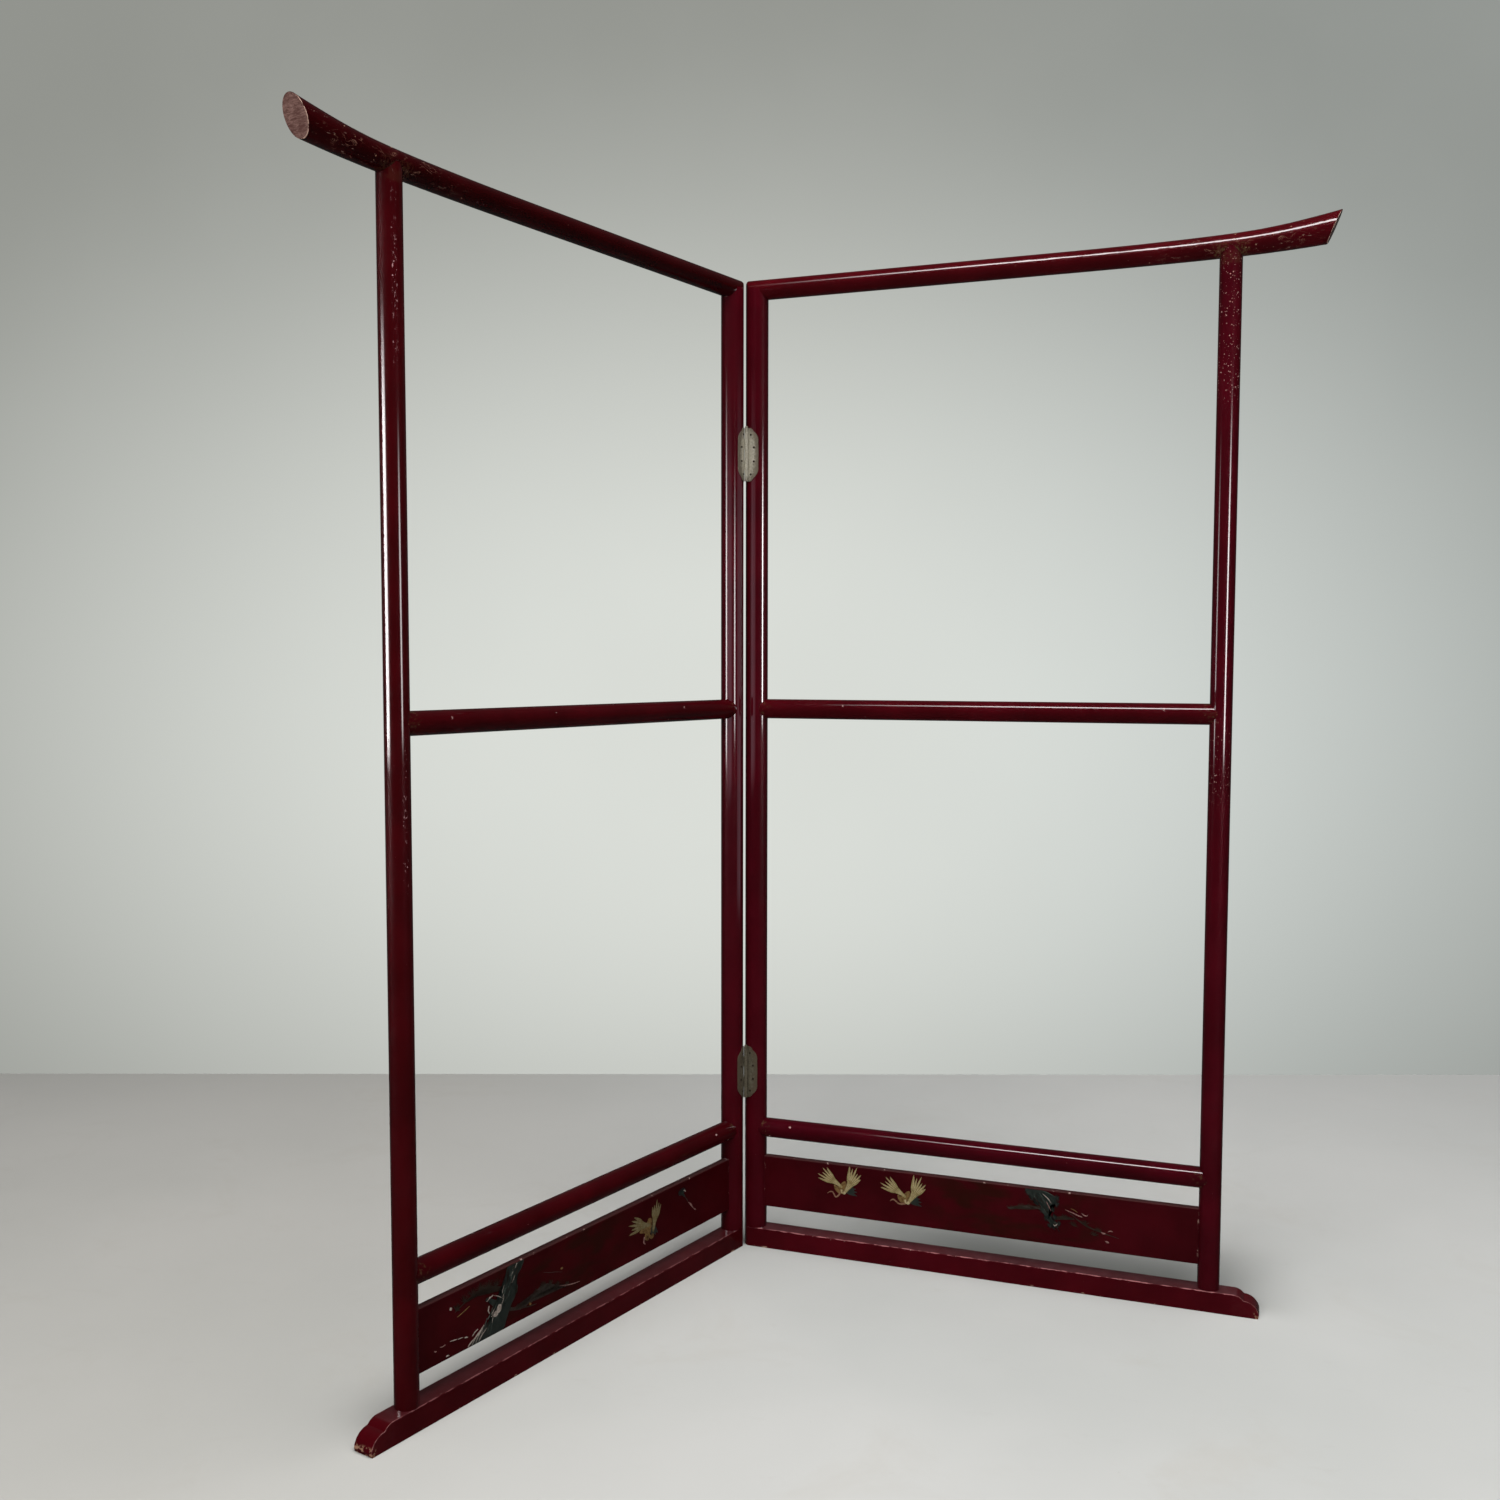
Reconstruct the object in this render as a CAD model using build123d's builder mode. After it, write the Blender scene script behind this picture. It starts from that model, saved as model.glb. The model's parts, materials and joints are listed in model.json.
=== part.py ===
import math
import os

from build123d import *

os.makedirs("parts", exist_ok=True)

# Folding rack of two lacquered wooden leaves on two metal hinges.
# Millimetres, +Z up. The right leaf runs along +X and the left leaf stands at FOLD_ANGLE to it.
# The origin is on the floor, under the middle of the rack's bounding box.
#
# Each leaf has its own coordinates: u along the leaf from the hinge axis, w square to the leaf
# and positive towards the inside of the fold, and z up.

# Fold and hinge axis
FOLD_ANGLE = 104.0
AXIS_X = -335.64
AXIS_Y = 430.89
AXIS_OFFSET = 21.4

# Posts
HINGE_POST_U = 11.4
OUTER_POST_U = 778.8
HINGE_POST_R = 19.25
OUTER_POST_R = 17.0

# Base rail
BASE_HEIGHT = 33.8
BASE_DEPTH = 33.7
BASE_EDGE = 1.0

# Painted board on edge
BOARD_BOTTOM = 71.2
BOARD_TOP = 162.1
BOARD_THICKNESS = 12.0
BOARD_EDGE = 1.5
GROOVE_DEPTH = 8.0

# Round rails between the posts
LOWER_RAIL_Z = 211.5
MIDDLE_RAIL_Z = 948.9
RAIL_R = 16.6

# Top rail: u, height of the centreline, half height and half depth of the section
TOP_RAIL_Z = 1660.0
TOP_RAIL_R = 16.7
TOP_RAIL_SECTIONS = (
    (440.0, 1660.0, 16.7, 16.7),
    (480.0, 1660.0, 16.7, 16.7),
    (520.0, 1660.0, 16.7, 16.7),
    (560.0, 1660.05, 16.7, 16.7),
    (600.0, 1660.2, 16.72, 16.7),
    (640.0, 1660.5, 16.8, 16.7),
    (675.0, 1660.95, 16.93, 16.74),
    (710.0, 1661.5, 17.1, 16.8),
    (765.0, 1662.8, 17.5, 17.0),
    (807.0, 1664.5, 18.1, 17.4),
    (843.0, 1667.0, 19.1, 18.0),
    (876.0, 1670.3, 20.5, 18.8),
    (909.0, 1674.4, 22.1, 19.6),
    (944.0, 1679.7, 23.9, 20.4),
)
HORN_TIP_U = 935.4
HORN_TIP_Z = 1701.8
HORN_SLANT = 23.0
HORN_EDGE = 0.8
DOME_R = 8.0

# Joinery
TENON_R = 8.0
TENON_LENGTH = 14.0
POST_TENON_R = 9.0
POST_TENON_LENGTH = 20.0
FIT = 0.05

# Hinges
HINGE_HEIGHTS = {"upper": 1382.0, "lower": 313.0}
PLATE_THICKNESS = 1.2
PLATE_HALF_HEIGHT = 45.0
PLATE_BACK_ANGLE = -36.0
PLATE_FRONT_ANGLE = 30.0
BARREL_R = 3.3
KNUCKLES = 5
KNUCKLE_GAP = 0.4
WEB_WIDTH = 3.2
PIN_R = 1.8
KNOB_R = 2.5
KNOB_HEIGHT = 3.2
NAIL_SHANK_R = 1.0
NAIL_SHANK_LENGTH = 12.0
NAIL_HEAD_R = 1.9
NAIL_HEAD_HEIGHT = 0.7
NAILS = ((4.0, 11.8), (4.0, -11.8), (-12.0, 33.4), (-12.0, -33.4))

POST_W = -AXIS_OFFSET
SIDES = {"right": 1, "left": -1}


def along(side):
    """Direction of a leaf, away from the hinge axis."""
    angle = 0.0 if side == "right" else -math.radians(FOLD_ANGLE)
    return Vector(math.cos(angle), math.sin(angle), 0)


def inward(side):
    """Direction square to a leaf, towards the inside of the fold."""
    return along(side).rotate(Axis.Z, -90 * SIDES[side])


def point(side, u, w, z):
    return Vector(AXIS_X, AXIS_Y, z) + along(side) * u + inward(side) * w


def face_plane(side):
    """Middle plane of a leaf: x is u and y is z."""
    return Plane(
        origin=point(side, 0, POST_W, 0),
        x_dir=along(side),
        z_dir=along(side).cross(Vector(0, 0, 1)),
    )


def plan_plane(side, u, z):
    """Level plane centred on the leaf at u: x is u."""
    return Plane(origin=point(side, u, POST_W, z), x_dir=along(side), z_dir=(0, 0, 1))


def section_plane(side, u, z):
    """Plane square to the leaf, centred on the leaf: x is w."""
    return Plane(origin=point(side, u, POST_W, z), x_dir=inward(side), z_dir=along(side))


def turned_plane(side):
    """Upright plane through the hinge post's centreline, for turned profiles."""
    return Plane(
        origin=point(side, HINGE_POST_U, POST_W, 0),
        x_dir=along(side),
        z_dir=along(side).cross(Vector(0, 0, 1)),
    )


def nail_plane(side, angle, z):
    """Plane on the plate's outer surface, facing out, angle from the leaf's inside normal."""
    lean = math.radians(angle)
    out = along(side) * math.sin(lean) + inward(side) * math.cos(lean)
    centre = point(side, HINGE_POST_U, POST_W, z)
    return Plane(origin=centre + out * (HINGE_POST_R + PLATE_THICKNESS), z_dir=out)


def nail_planes(side, centre_z):
    return [nail_plane(side, angle, centre_z + dz) for angle, dz in NAILS]


def finish(builder, name):
    builder.part.label = name
    export_step(builder.part, f"parts/{name}.step")
    return builder.part


def build_top_rail_blank(side):
    """Round rail that sweeps up into a horn, before its mortises are cut."""
    with BuildPart() as rail:
        with BuildSketch(section_plane(side, HINGE_POST_U - HINGE_POST_R - 2, TOP_RAIL_Z)):
            Circle(TOP_RAIL_R)
        extrude(amount=TOP_RAIL_SECTIONS[0][0] - HINGE_POST_U + HINGE_POST_R + 2)
        for u, z, half_height, half_depth in TOP_RAIL_SECTIONS:
            with BuildSketch(section_plane(side, u, z)):
                Ellipse(half_depth, half_height)
        loft()
        # The horn is sawn off at a slant.
        slant = math.radians(HORN_SLANT)
        end = Plane(
            origin=point(side, HORN_TIP_U, POST_W, HORN_TIP_Z),
            z_dir=along(side) * math.cos(slant) - Vector(0, 0, math.sin(slant)),
        )
        split(bisect_by=end, keep=Keep.BOTTOM)
        rim = rail.faces().sort_by(Axis(end.origin, end.z_dir))[-1].edges()
        chamfer(rim, HORN_EDGE)
        # The hinge end is rounded off flush with the post below it.
        with BuildSketch(turned_plane(side)):
            with BuildLine():
                low = (-HINGE_POST_R, TOP_RAIL_Z - 30)
                shoulder = (-HINGE_POST_R, TOP_RAIL_Z + TOP_RAIL_R - DOME_R)
                crown = (-HINGE_POST_R + DOME_R, TOP_RAIL_Z + TOP_RAIL_R)
                Line(low, shoulder)
                RadiusArc(shoulder, crown, DOME_R)
                Polyline(
                    crown,
                    (-HINGE_POST_R + DOME_R, TOP_RAIL_Z + 30),
                    (-HINGE_POST_R - 30, TOP_RAIL_Z + 30),
                    (-HINGE_POST_R - 30, TOP_RAIL_Z - 30),
                    low,
                )
            make_face()
        post_axis = Axis(turned_plane(side).origin, (0, 0, 1))
        revolve(axis=post_axis, revolution_arc=90, mode=Mode.SUBTRACT)
        with BuildSketch(turned_plane(side)):
            with BuildLine():
                Line(low, shoulder)
                RadiusArc(shoulder, crown, DOME_R)
                Polyline(
                    crown,
                    (-HINGE_POST_R + DOME_R, TOP_RAIL_Z + 30),
                    (-HINGE_POST_R - 30, TOP_RAIL_Z + 30),
                    (-HINGE_POST_R - 30, TOP_RAIL_Z - 30),
                    low,
                )
            make_face()
        revolve(axis=post_axis, revolution_arc=-90, mode=Mode.SUBTRACT)
    return rail


def build_post(side, u, radius, inner_way, rail_blank, nail_holes):
    """Round post: tenons at both ends, mortises for the rails and a groove for the board."""
    with BuildPart() as post:
        with BuildSketch(plan_plane(side, u, BASE_HEIGHT)):
            Circle(radius)
        extrude(amount=TOP_RAIL_Z - BASE_HEIGHT)
        add(rail_blank, mode=Mode.SUBTRACT)
        with BuildSketch(plan_plane(side, u, BASE_HEIGHT - POST_TENON_LENGTH)):
            Circle(POST_TENON_R)
        extrude(amount=POST_TENON_LENGTH + 1)
        with BuildSketch(plan_plane(side, u, TOP_RAIL_Z - TOP_RAIL_R - 2)):
            Circle(POST_TENON_R)
        extrude(amount=POST_TENON_LENGTH)
        for z in (LOWER_RAIL_Z, MIDDLE_RAIL_Z):
            mouth = u + inner_way * (radius - TENON_LENGTH - 0.5)
            with BuildSketch(section_plane(side, mouth, z)):
                Circle(TENON_R + FIT)
            extrude(amount=inner_way * (TENON_LENGTH + 2), mode=Mode.SUBTRACT)
        groove_u = u + inner_way * (radius - GROOVE_DEPTH / 2 + 1)
        with BuildSketch(plan_plane(side, groove_u, BOARD_BOTTOM - FIT)):
            Rectangle(GROOVE_DEPTH + 2 + 2 * FIT, BOARD_THICKNESS + 2 * FIT)
        extrude(amount=BOARD_TOP - BOARD_BOTTOM + 2 * FIT, mode=Mode.SUBTRACT)
        for plane in nail_holes:
            with BuildSketch(plane):
                Circle(NAIL_SHANK_R + FIT)
            extrude(amount=-NAIL_SHANK_LENGTH - 0.5, mode=Mode.SUBTRACT)
    return post


for side in SIDES:
    # Top rail, with mortises for the two posts
    rail_blank = build_top_rail_blank(side).part
    with BuildPart() as top_rail:
        add(rail_blank)
        for u in (HINGE_POST_U, OUTER_POST_U):
            with BuildSketch(plan_plane(side, u, TOP_RAIL_Z - TOP_RAIL_R - 5)):
                Circle(POST_TENON_R + FIT)
            extrude(amount=POST_TENON_LENGTH + 3 + FIT, mode=Mode.SUBTRACT)
    finish(top_rail, f"{side}_top_rail")

    # Posts; the hinge post also has the nail holes of both hinges
    nail_holes = []
    for centre_z in HINGE_HEIGHTS.values():
        nail_holes.extend(nail_planes(side, centre_z))
    hinge_post = build_post(side, HINGE_POST_U, HINGE_POST_R, 1, rail_blank, nail_holes)
    finish(hinge_post, f"{side}_hinge_post")
    outer_post = build_post(side, OUTER_POST_U, OUTER_POST_R, -1, rail_blank, [])
    finish(outer_post, f"{side}_outer_post")

    # Middle and lower rails, their ends coped to the posts
    for name, z in (("middle_rail", MIDDLE_RAIL_Z), ("lower_rail", LOWER_RAIL_Z)):
        with BuildPart() as rail:
            with BuildSketch(section_plane(side, HINGE_POST_U, z)):
                Circle(RAIL_R)
            extrude(amount=OUTER_POST_U - HINGE_POST_U)
            for u, radius in ((HINGE_POST_U, HINGE_POST_R), (OUTER_POST_U, OUTER_POST_R)):
                with BuildSketch(plan_plane(side, u, z - 2 * RAIL_R)):
                    Circle(radius + FIT)
                extrude(amount=4 * RAIL_R, mode=Mode.SUBTRACT)
            start = HINGE_POST_U + HINGE_POST_R - TENON_LENGTH
            end = OUTER_POST_U - OUTER_POST_R + TENON_LENGTH
            with BuildSketch(section_plane(side, start, z)):
                Circle(TENON_R)
            extrude(amount=end - start)
        finish(rail, f"{side}_{name}")

    # Painted board, plain wood here, let into the posts
    with BuildPart() as board:
        start = HINGE_POST_U + HINGE_POST_R - GROOVE_DEPTH
        end = OUTER_POST_U - OUTER_POST_R + GROOVE_DEPTH
        with BuildSketch(face_plane(side)):
            with Locations(((start + end) / 2, (BOARD_BOTTOM + BOARD_TOP) / 2)):
                Rectangle(end - start, BOARD_TOP - BOARD_BOTTOM)
        extrude(amount=BOARD_THICKNESS / 2, both=True)
        long_edges = board.edges().filter_by(Axis(point(side, 0, 0, 0), along(side)))
        fillet(long_edges, BOARD_EDGE)
    finish(board, f"{side}_painted_board")

    # Base rail: flat, then a first small lobe, a step and a second larger lobe down to the tip
    with BuildPart() as base:
        with BuildSketch(face_plane(side)) as profile:
            with BuildLine():
                lobe_start = (817.5, BASE_HEIGHT)
                step = (833.0, 26.3)
                tip = (856.5, 5.5)
                Polyline((HINGE_POST_U, 0), (HINGE_POST_U, BASE_HEIGHT), lobe_start)
                TangentArc(lobe_start, step, tangent=(1, 0))
                TangentArc(step, tip, tangent=(1, 0))
                Polyline(tip, (855.0, 0), (HINGE_POST_U, 0))
            make_face()
            fillet(profile.vertices().sort_by_distance(step)[0], 1.6)
        extrude(amount=BASE_DEPTH / 2, both=True)
        upper_edges = (
            base.edges()
            .filter_by(GeomType.LINE)
            .filter_by(Axis(point(side, 0, 0, 0), along(side)))
            .group_by(Axis.Z)[-1]
        )
        scroll_edges = base.edges().filter_by(GeomType.CIRCLE)
        fillet(upper_edges + scroll_edges, BASE_EDGE)
        # Rounded end under the hinge post
        with BuildSketch(plan_plane(side, HINGE_POST_U, 0)):
            Circle(HINGE_POST_R)
            with Locations((HINGE_POST_R, 0)):
                Rectangle(2 * HINGE_POST_R, 2 * HINGE_POST_R, mode=Mode.SUBTRACT)
            Rectangle(4 * HINGE_POST_R, BASE_DEPTH, mode=Mode.INTERSECT)
        extrude(amount=BASE_HEIGHT)
        for u in (HINGE_POST_U, OUTER_POST_U):
            with BuildSketch(plan_plane(side, u, BASE_HEIGHT - POST_TENON_LENGTH - FIT)):
                Circle(POST_TENON_R + FIT)
            extrude(amount=POST_TENON_LENGTH + 5, mode=Mode.SUBTRACT)
    finish(base, f"{side}_base_rail")


def knuckle_spans(side):
    """Heights of a leaf's knuckles on the pin, from the hinge's middle."""
    pitch = 2 * PLATE_HALF_HEIGHT / KNUCKLES
    first = 0 if side == "right" else 1
    spans = []
    for index in range(first, KNUCKLES, 2):
        bottom = -PLATE_HALF_HEIGHT + index * pitch + KNUCKLE_GAP / 2
        spans.append((bottom, pitch - KNUCKLE_GAP))
    return spans


for level, centre_z in HINGE_HEIGHTS.items():
    for side in SIDES:
        # Plate: a strip rolled round the post, cut to a lobed oval, with its knuckles
        outer_r = HINGE_POST_R + PLATE_THICKNESS
        lower_z = centre_z - PLATE_HALF_HEIGHT - 1
        with BuildPart() as plate:
            with BuildSketch(plan_plane(side, HINGE_POST_U, lower_z)):
                Circle(outer_r)
                Circle(HINGE_POST_R + 0.02, mode=Mode.SUBTRACT)
                with BuildLine():
                    reach = 2 * outer_r
                    back = math.radians(90 - PLATE_BACK_ANGLE)
                    front = math.radians(90 - PLATE_FRONT_ANGLE)
                    turn = -SIDES[side]
                    Polyline(
                        (0, 0),
                        (reach * math.cos(back), turn * reach * math.sin(back)),
                        (reach * math.cos(front), turn * reach * math.sin(front)),
                        (0, 0),
                    )
                make_face(mode=Mode.INTERSECT)
            extrude(amount=2 * PLATE_HALF_HEIGHT + 2)
            with BuildSketch(face_plane(side)):
                with BuildLine() as outline:
                    top = centre_z + PLATE_HALF_HEIGHT
                    Polyline((-6.0, centre_z), (-6.0, top), (3.4, top))
                    ThreePointArc(
                        (3.4, top), (9.4, centre_z + 43.0), (11.8, centre_z + 39.1)
                    )
                    ThreePointArc(
                        (11.8, centre_z + 39.1), (17.2, centre_z + 33.5), (19.7, centre_z + 21)
                    )
                    Line((19.7, centre_z + 21), (20.2, centre_z))
                    mirror(about=Plane(origin=(0, centre_z, 0), z_dir=(0, 1, 0)))
                make_face()
            extrude(amount=2 * outer_r, both=True, mode=Mode.INTERSECT)
            # Webs from the plate to the knuckles, then the knuckles and their bore
            reach_in = math.hypot(HINGE_POST_U, AXIS_OFFSET) - outer_r + 0.5
            to_post = point(side, HINGE_POST_U, POST_W, 0) - point(side, 0, 0, 0)
            for bottom, length in knuckle_spans(side):
                axis_plane = Plane(
                    origin=point(side, 0, 0, centre_z + bottom), x_dir=to_post, z_dir=(0, 0, 1)
                )
                with BuildSketch(axis_plane):
                    Circle(BARREL_R)
                    with Locations((reach_in / 2, 0)):
                        Rectangle(reach_in, WEB_WIDTH)
                    Circle(PIN_R + FIT, mode=Mode.SUBTRACT)
                extrude(amount=length)
            for plane in nail_planes(side, centre_z):
                with BuildSketch(plane):
                    Circle(NAIL_SHANK_R + FIT)
                extrude(amount=-3 * PLATE_THICKNESS, mode=Mode.SUBTRACT)
        finish(plate, f"{level}_hinge_{side}_plate")

        # Four nails with low domed heads
        with BuildPart() as nails:
            with BuildSketch(*nail_planes(side, centre_z)):
                Circle(NAIL_SHANK_R)
            extrude(amount=-NAIL_SHANK_LENGTH)
            with BuildSketch(*nail_planes(side, centre_z)):
                Circle(NAIL_HEAD_R)
            extrude(amount=NAIL_HEAD_HEIGHT)
            rims = nails.edges().filter_by(GeomType.CIRCLE)
            for plane in nail_planes(side, centre_z):
                crown = plane.origin + plane.z_dir * NAIL_HEAD_HEIGHT
                rim = min(rims, key=lambda edge: (edge.arc_center - crown).length)
                fillet(rim, 0.75 * NAIL_HEAD_HEIGHT)
        finish(nails, f"{level}_hinge_{side}_nails")

    # Pin with a small knob on top
    with BuildPart() as pin:
        with BuildSketch(Plane.XY.offset(centre_z - PLATE_HALF_HEIGHT)):
            with Locations((AXIS_X, AXIS_Y)):
                Circle(PIN_R)
        extrude(amount=2 * PLATE_HALF_HEIGHT)
        with BuildSketch(Plane.XY.offset(centre_z + PLATE_HALF_HEIGHT)):
            with Locations((AXIS_X, AXIS_Y)):
                Circle(KNOB_R)
        extrude(amount=KNOB_HEIGHT)
        fillet(pin.edges().group_by(Axis.Z)[-1], 0.8 * KNOB_R)
    finish(pin, f"{level}_hinge_pin")
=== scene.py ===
"""Looks of the two-leaf lacquered folding rack: its materials, wear and painted scene, then the
floor, the light and the camera."""

import json
import math
import random
import bmesh
import bpy
from mathutils import Matrix, Vector


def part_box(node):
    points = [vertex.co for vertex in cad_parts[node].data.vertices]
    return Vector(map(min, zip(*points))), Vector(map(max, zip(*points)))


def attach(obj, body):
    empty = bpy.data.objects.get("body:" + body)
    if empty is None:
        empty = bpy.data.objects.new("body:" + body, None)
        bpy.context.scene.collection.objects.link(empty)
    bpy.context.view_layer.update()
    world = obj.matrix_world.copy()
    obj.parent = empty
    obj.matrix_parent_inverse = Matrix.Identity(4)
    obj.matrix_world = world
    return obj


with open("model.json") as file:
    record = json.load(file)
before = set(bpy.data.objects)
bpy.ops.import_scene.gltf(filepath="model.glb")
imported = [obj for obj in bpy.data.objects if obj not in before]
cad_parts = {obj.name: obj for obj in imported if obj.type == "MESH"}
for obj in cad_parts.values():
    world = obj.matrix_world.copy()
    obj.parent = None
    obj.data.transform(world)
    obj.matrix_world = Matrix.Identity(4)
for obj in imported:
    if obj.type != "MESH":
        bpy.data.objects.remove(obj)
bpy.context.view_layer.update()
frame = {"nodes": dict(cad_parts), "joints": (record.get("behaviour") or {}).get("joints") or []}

nodes = frame["nodes"]
fold = frame["joints"][0]
AXIS = Vector((fold["pos_m"][0], fold["pos_m"][1], 0.0))
FOLD_ANGLE = math.radians(fold["range_deg"][1])

# Leaf coordinates in millimetres: u along the leaf from the hinge axis, w square to it and
# positive towards the inside of the fold, z up.
SIDES = ("right", "left")
POST_W = -21.4
OUTER_POST_U = 778.8
JOINT_LOW, JOINT_HIGH = 1634, 1652  # where the outer post meets the top rail
BASE_TOP = 33.8
BASE_HALF = 16.85
BOARD_FACE = POST_W + 6.0
BOARD_LOW, BOARD_HIGH = 72.8, 160.4  # the painted figures keep between these heights
HORN_SLANT = math.radians(23.0)

GLOSS_IOR = 1.5
MM_PER_M = 1000.0


def leaf_point(side, u, w, z):
    """A point given in a leaf's own millimetres, in the shared frame in metres."""
    turn = 0.0 if side == "right" else -FOLD_ANGLE
    sign = 1.0 if side == "right" else -1.0
    along = Vector((math.cos(turn), math.sin(turn), 0.0))
    inward = Vector((sign * along.y, -sign * along.x, 0.0))
    return AXIS + (along * u + inward * w + Vector((0, 0, z))) / MM_PER_M


def new_object(name, data):
    made = bpy.data.objects.new(name, data)
    bpy.context.scene.collection.objects.link(made)
    return made


# ---- material nodes


class Paint:
    """Builds the node tree of a new material, or a tree given, one node per call."""

    def __init__(self, name, tree=None):
        if tree is None:
            self.material = bpy.data.materials.new(name)
            self.material.use_nodes = True
            tree = self.material.node_tree
        self.tree = tree
        self.tree.nodes.clear()

    def node(self, kind, inputs=None, **settings):
        made = self.tree.nodes.new(kind)
        for key, value in settings.items():
            setattr(made, key, value)
        for key, value in (inputs or {}).items():
            self.put(made.inputs[key], value)
        return made

    def put(self, socket, value):
        if isinstance(value, bpy.types.NodeSocket):
            self.tree.links.new(value, socket)
        elif value is not None:
            if socket.type == "RGBA" and len(value) == 3:
                value = (*value, 1.0)
            socket.default_value = value

    def math(self, operation, a, b=None, clamp=False):
        inputs = {0: a, 1: b}
        return self.node("ShaderNodeMath", inputs, operation=operation, use_clamp=clamp).outputs[0]

    def add(self, a, b):
        return self.math("ADD", a, b)

    def sub(self, a, b):
        return self.math("SUBTRACT", a, b)

    def mul(self, a, b):
        return self.math("MULTIPLY", a, b)

    def length(self, a, b):
        """Length of a flat vector given by its two numbers."""
        return self.math("SQRT", self.add(self.mul(a, a), self.mul(b, b)))

    def all_of(self, *masks):
        result = masks[0]
        for mask in masks[1:]:
            result = self.mul(result, mask)
        return result

    def any_of(self, *masks):
        result = masks[0]
        for mask in masks[1:]:
            result = self.math("MAXIMUM", result, mask)
        return result

    def smooth(self, value, low, high, to_low=0.0, to_high=1.0):
        """Smooth step of value between low and high; low may be above high."""
        if low > high:
            low, high, to_low, to_high = high, low, to_high, to_low
        inputs = {0: value, 1: low, 2: high, 3: to_low, 4: to_high}
        made = self.node("ShaderNodeMapRange", inputs, interpolation_type="SMOOTHSTEP")
        return made.outputs[0]

    def band(self, value, low, high, soft):
        """1 between low and high, falling to 0 over soft on both sides."""
        return self.mul(
            self.smooth(value, low - soft, low + soft),
            self.smooth(value, high + soft, high - soft),
        )

    def mix(self, factor, a, b, blend_type="MIX"):
        inputs = {0: factor, 6: a, 7: b}
        made = self.node("ShaderNodeMix", inputs, data_type="RGBA", blend_type=blend_type)
        return made.outputs[2]

    def blend(self, factor, a, b):
        """Mixes two numbers."""
        inputs = {0: factor, 2: a, 3: b}
        return self.node("ShaderNodeMix", inputs, data_type="FLOAT").outputs[0]

    def place(self, kind="Object"):
        return self.node("ShaderNodeTexCoord").outputs[kind]

    def parts(self, vector):
        return self.node("ShaderNodeSeparateXYZ", {0: vector}).outputs

    def dot(self, vector, direction):
        inputs = {0: vector, 1: tuple(direction)}
        made = self.node("ShaderNodeVectorMath", inputs, operation="DOT_PRODUCT")
        return made.outputs["Value"]

    def scaled(self, vector, x, y, z):
        return self.node("ShaderNodeMapping", {0: vector, 3: (x, y, z)}).outputs[0]

    def noise(self, vector, scale, detail=2.0, rough=0.5, distortion=0.0):
        inputs = {"Vector": vector, "Scale": scale, "Detail": detail, "Roughness": rough}
        inputs["Distortion"] = distortion
        return self.node("ShaderNodeTexNoise", inputs).outputs[0]

    def specks(self, vector, cell, radius, share, soft=0.35):
        """Scattered ragged spots, one in a cell of a Voronoi pattern; a share of them is kept."""
        inputs = {"Vector": vector, "Scale": 0.9 / radius, "Detail": 2.0}
        ragged = self.node("ShaderNodeTexNoise", inputs).outputs["Color"]
        inputs = {0: ragged, 1: (2.2 * radius,) * 3, 2: vector}
        pushed = self.node("ShaderNodeVectorMath", inputs, operation="MULTIPLY_ADD").outputs[0]
        made = self.node("ShaderNodeTexVoronoi", {"Vector": pushed, "Scale": 1.0 / cell})
        chance = self.node("ShaderNodeSeparateColor", {0: made.outputs["Color"]})
        kept = self.math("LESS_THAN", chance.outputs[0], share)
        size = self.blend(chance.outputs[1], 0.35 * radius / cell, radius / cell)
        spot = self.math("DIVIDE", made.outputs["Distance"], size)
        strength = self.blend(chance.outputs[2], 0.35, 1.0)
        return self.all_of(kept, strength, self.smooth(spot, 1.0, 1.0 - soft))

    def bump(self, height, strength, distance, normal=None):
        inputs = {"Strength": strength, "Distance": distance, "Height": height, "Normal": normal}
        return self.node("ShaderNodeBump", inputs).outputs[0]

    def leaf(self, side):
        """The leaf's own coordinates in millimetres: vector, u, w, z."""
        turn, mirror = (0.0, -1.0) if side == "right" else (FOLD_ANGLE, 1.0)
        x = math.cos(turn) * AXIS.x - math.sin(turn) * AXIS.y
        y = math.sin(turn) * AXIS.x + math.cos(turn) * AXIS.y
        inputs = {0: self.place(), 1: (-x, -y, 0.0), 2: (0.0, 0.0, turn)}
        level = self.node("ShaderNodeMapping", inputs).outputs[0]
        vector = self.scaled(level, MM_PER_M, MM_PER_M * mirror, MM_PER_M)
        u, w, z = self.parts(vector)
        return vector, u, w, z

    def principled(self, inputs):
        return self.node("ShaderNodeBsdfPrincipled", inputs)

    def cut(self, clear, shader):
        """The shader, see-through where clear is 1."""
        hole = self.node("ShaderNodeBsdfTransparent")
        inputs = {0: clear, 1: shader.outputs[0], 2: hole.outputs[0]}
        return self.node("ShaderNodeMixShader", inputs)

    def done(self, shader):
        """Ends the material with this shader."""
        self.node("ShaderNodeOutputMaterial", {0: shader.outputs[0]})
        return self.material

    def surface(self, inputs):
        """Ends the material with a principled shader."""
        return self.done(self.principled(inputs))


# ---- lacquer

# Linear colours
CRIMSON = (0.052, 0.0013, 0.0033)
CRIMSON_DEEP = (0.031, 0.0009, 0.0020)
PINK_GROUND = (0.46, 0.24, 0.25)
OLIVE_GRIME = (0.075, 0.050, 0.022)
PALE_DUST = (0.30, 0.17, 0.17)
MIST = (0.018, 0.0035, 0.0018)

SATIN = (0.30, 0.44)  # roughness of the undercoat, from clean to smudged
DULL = (0.42, 0.55)


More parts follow.
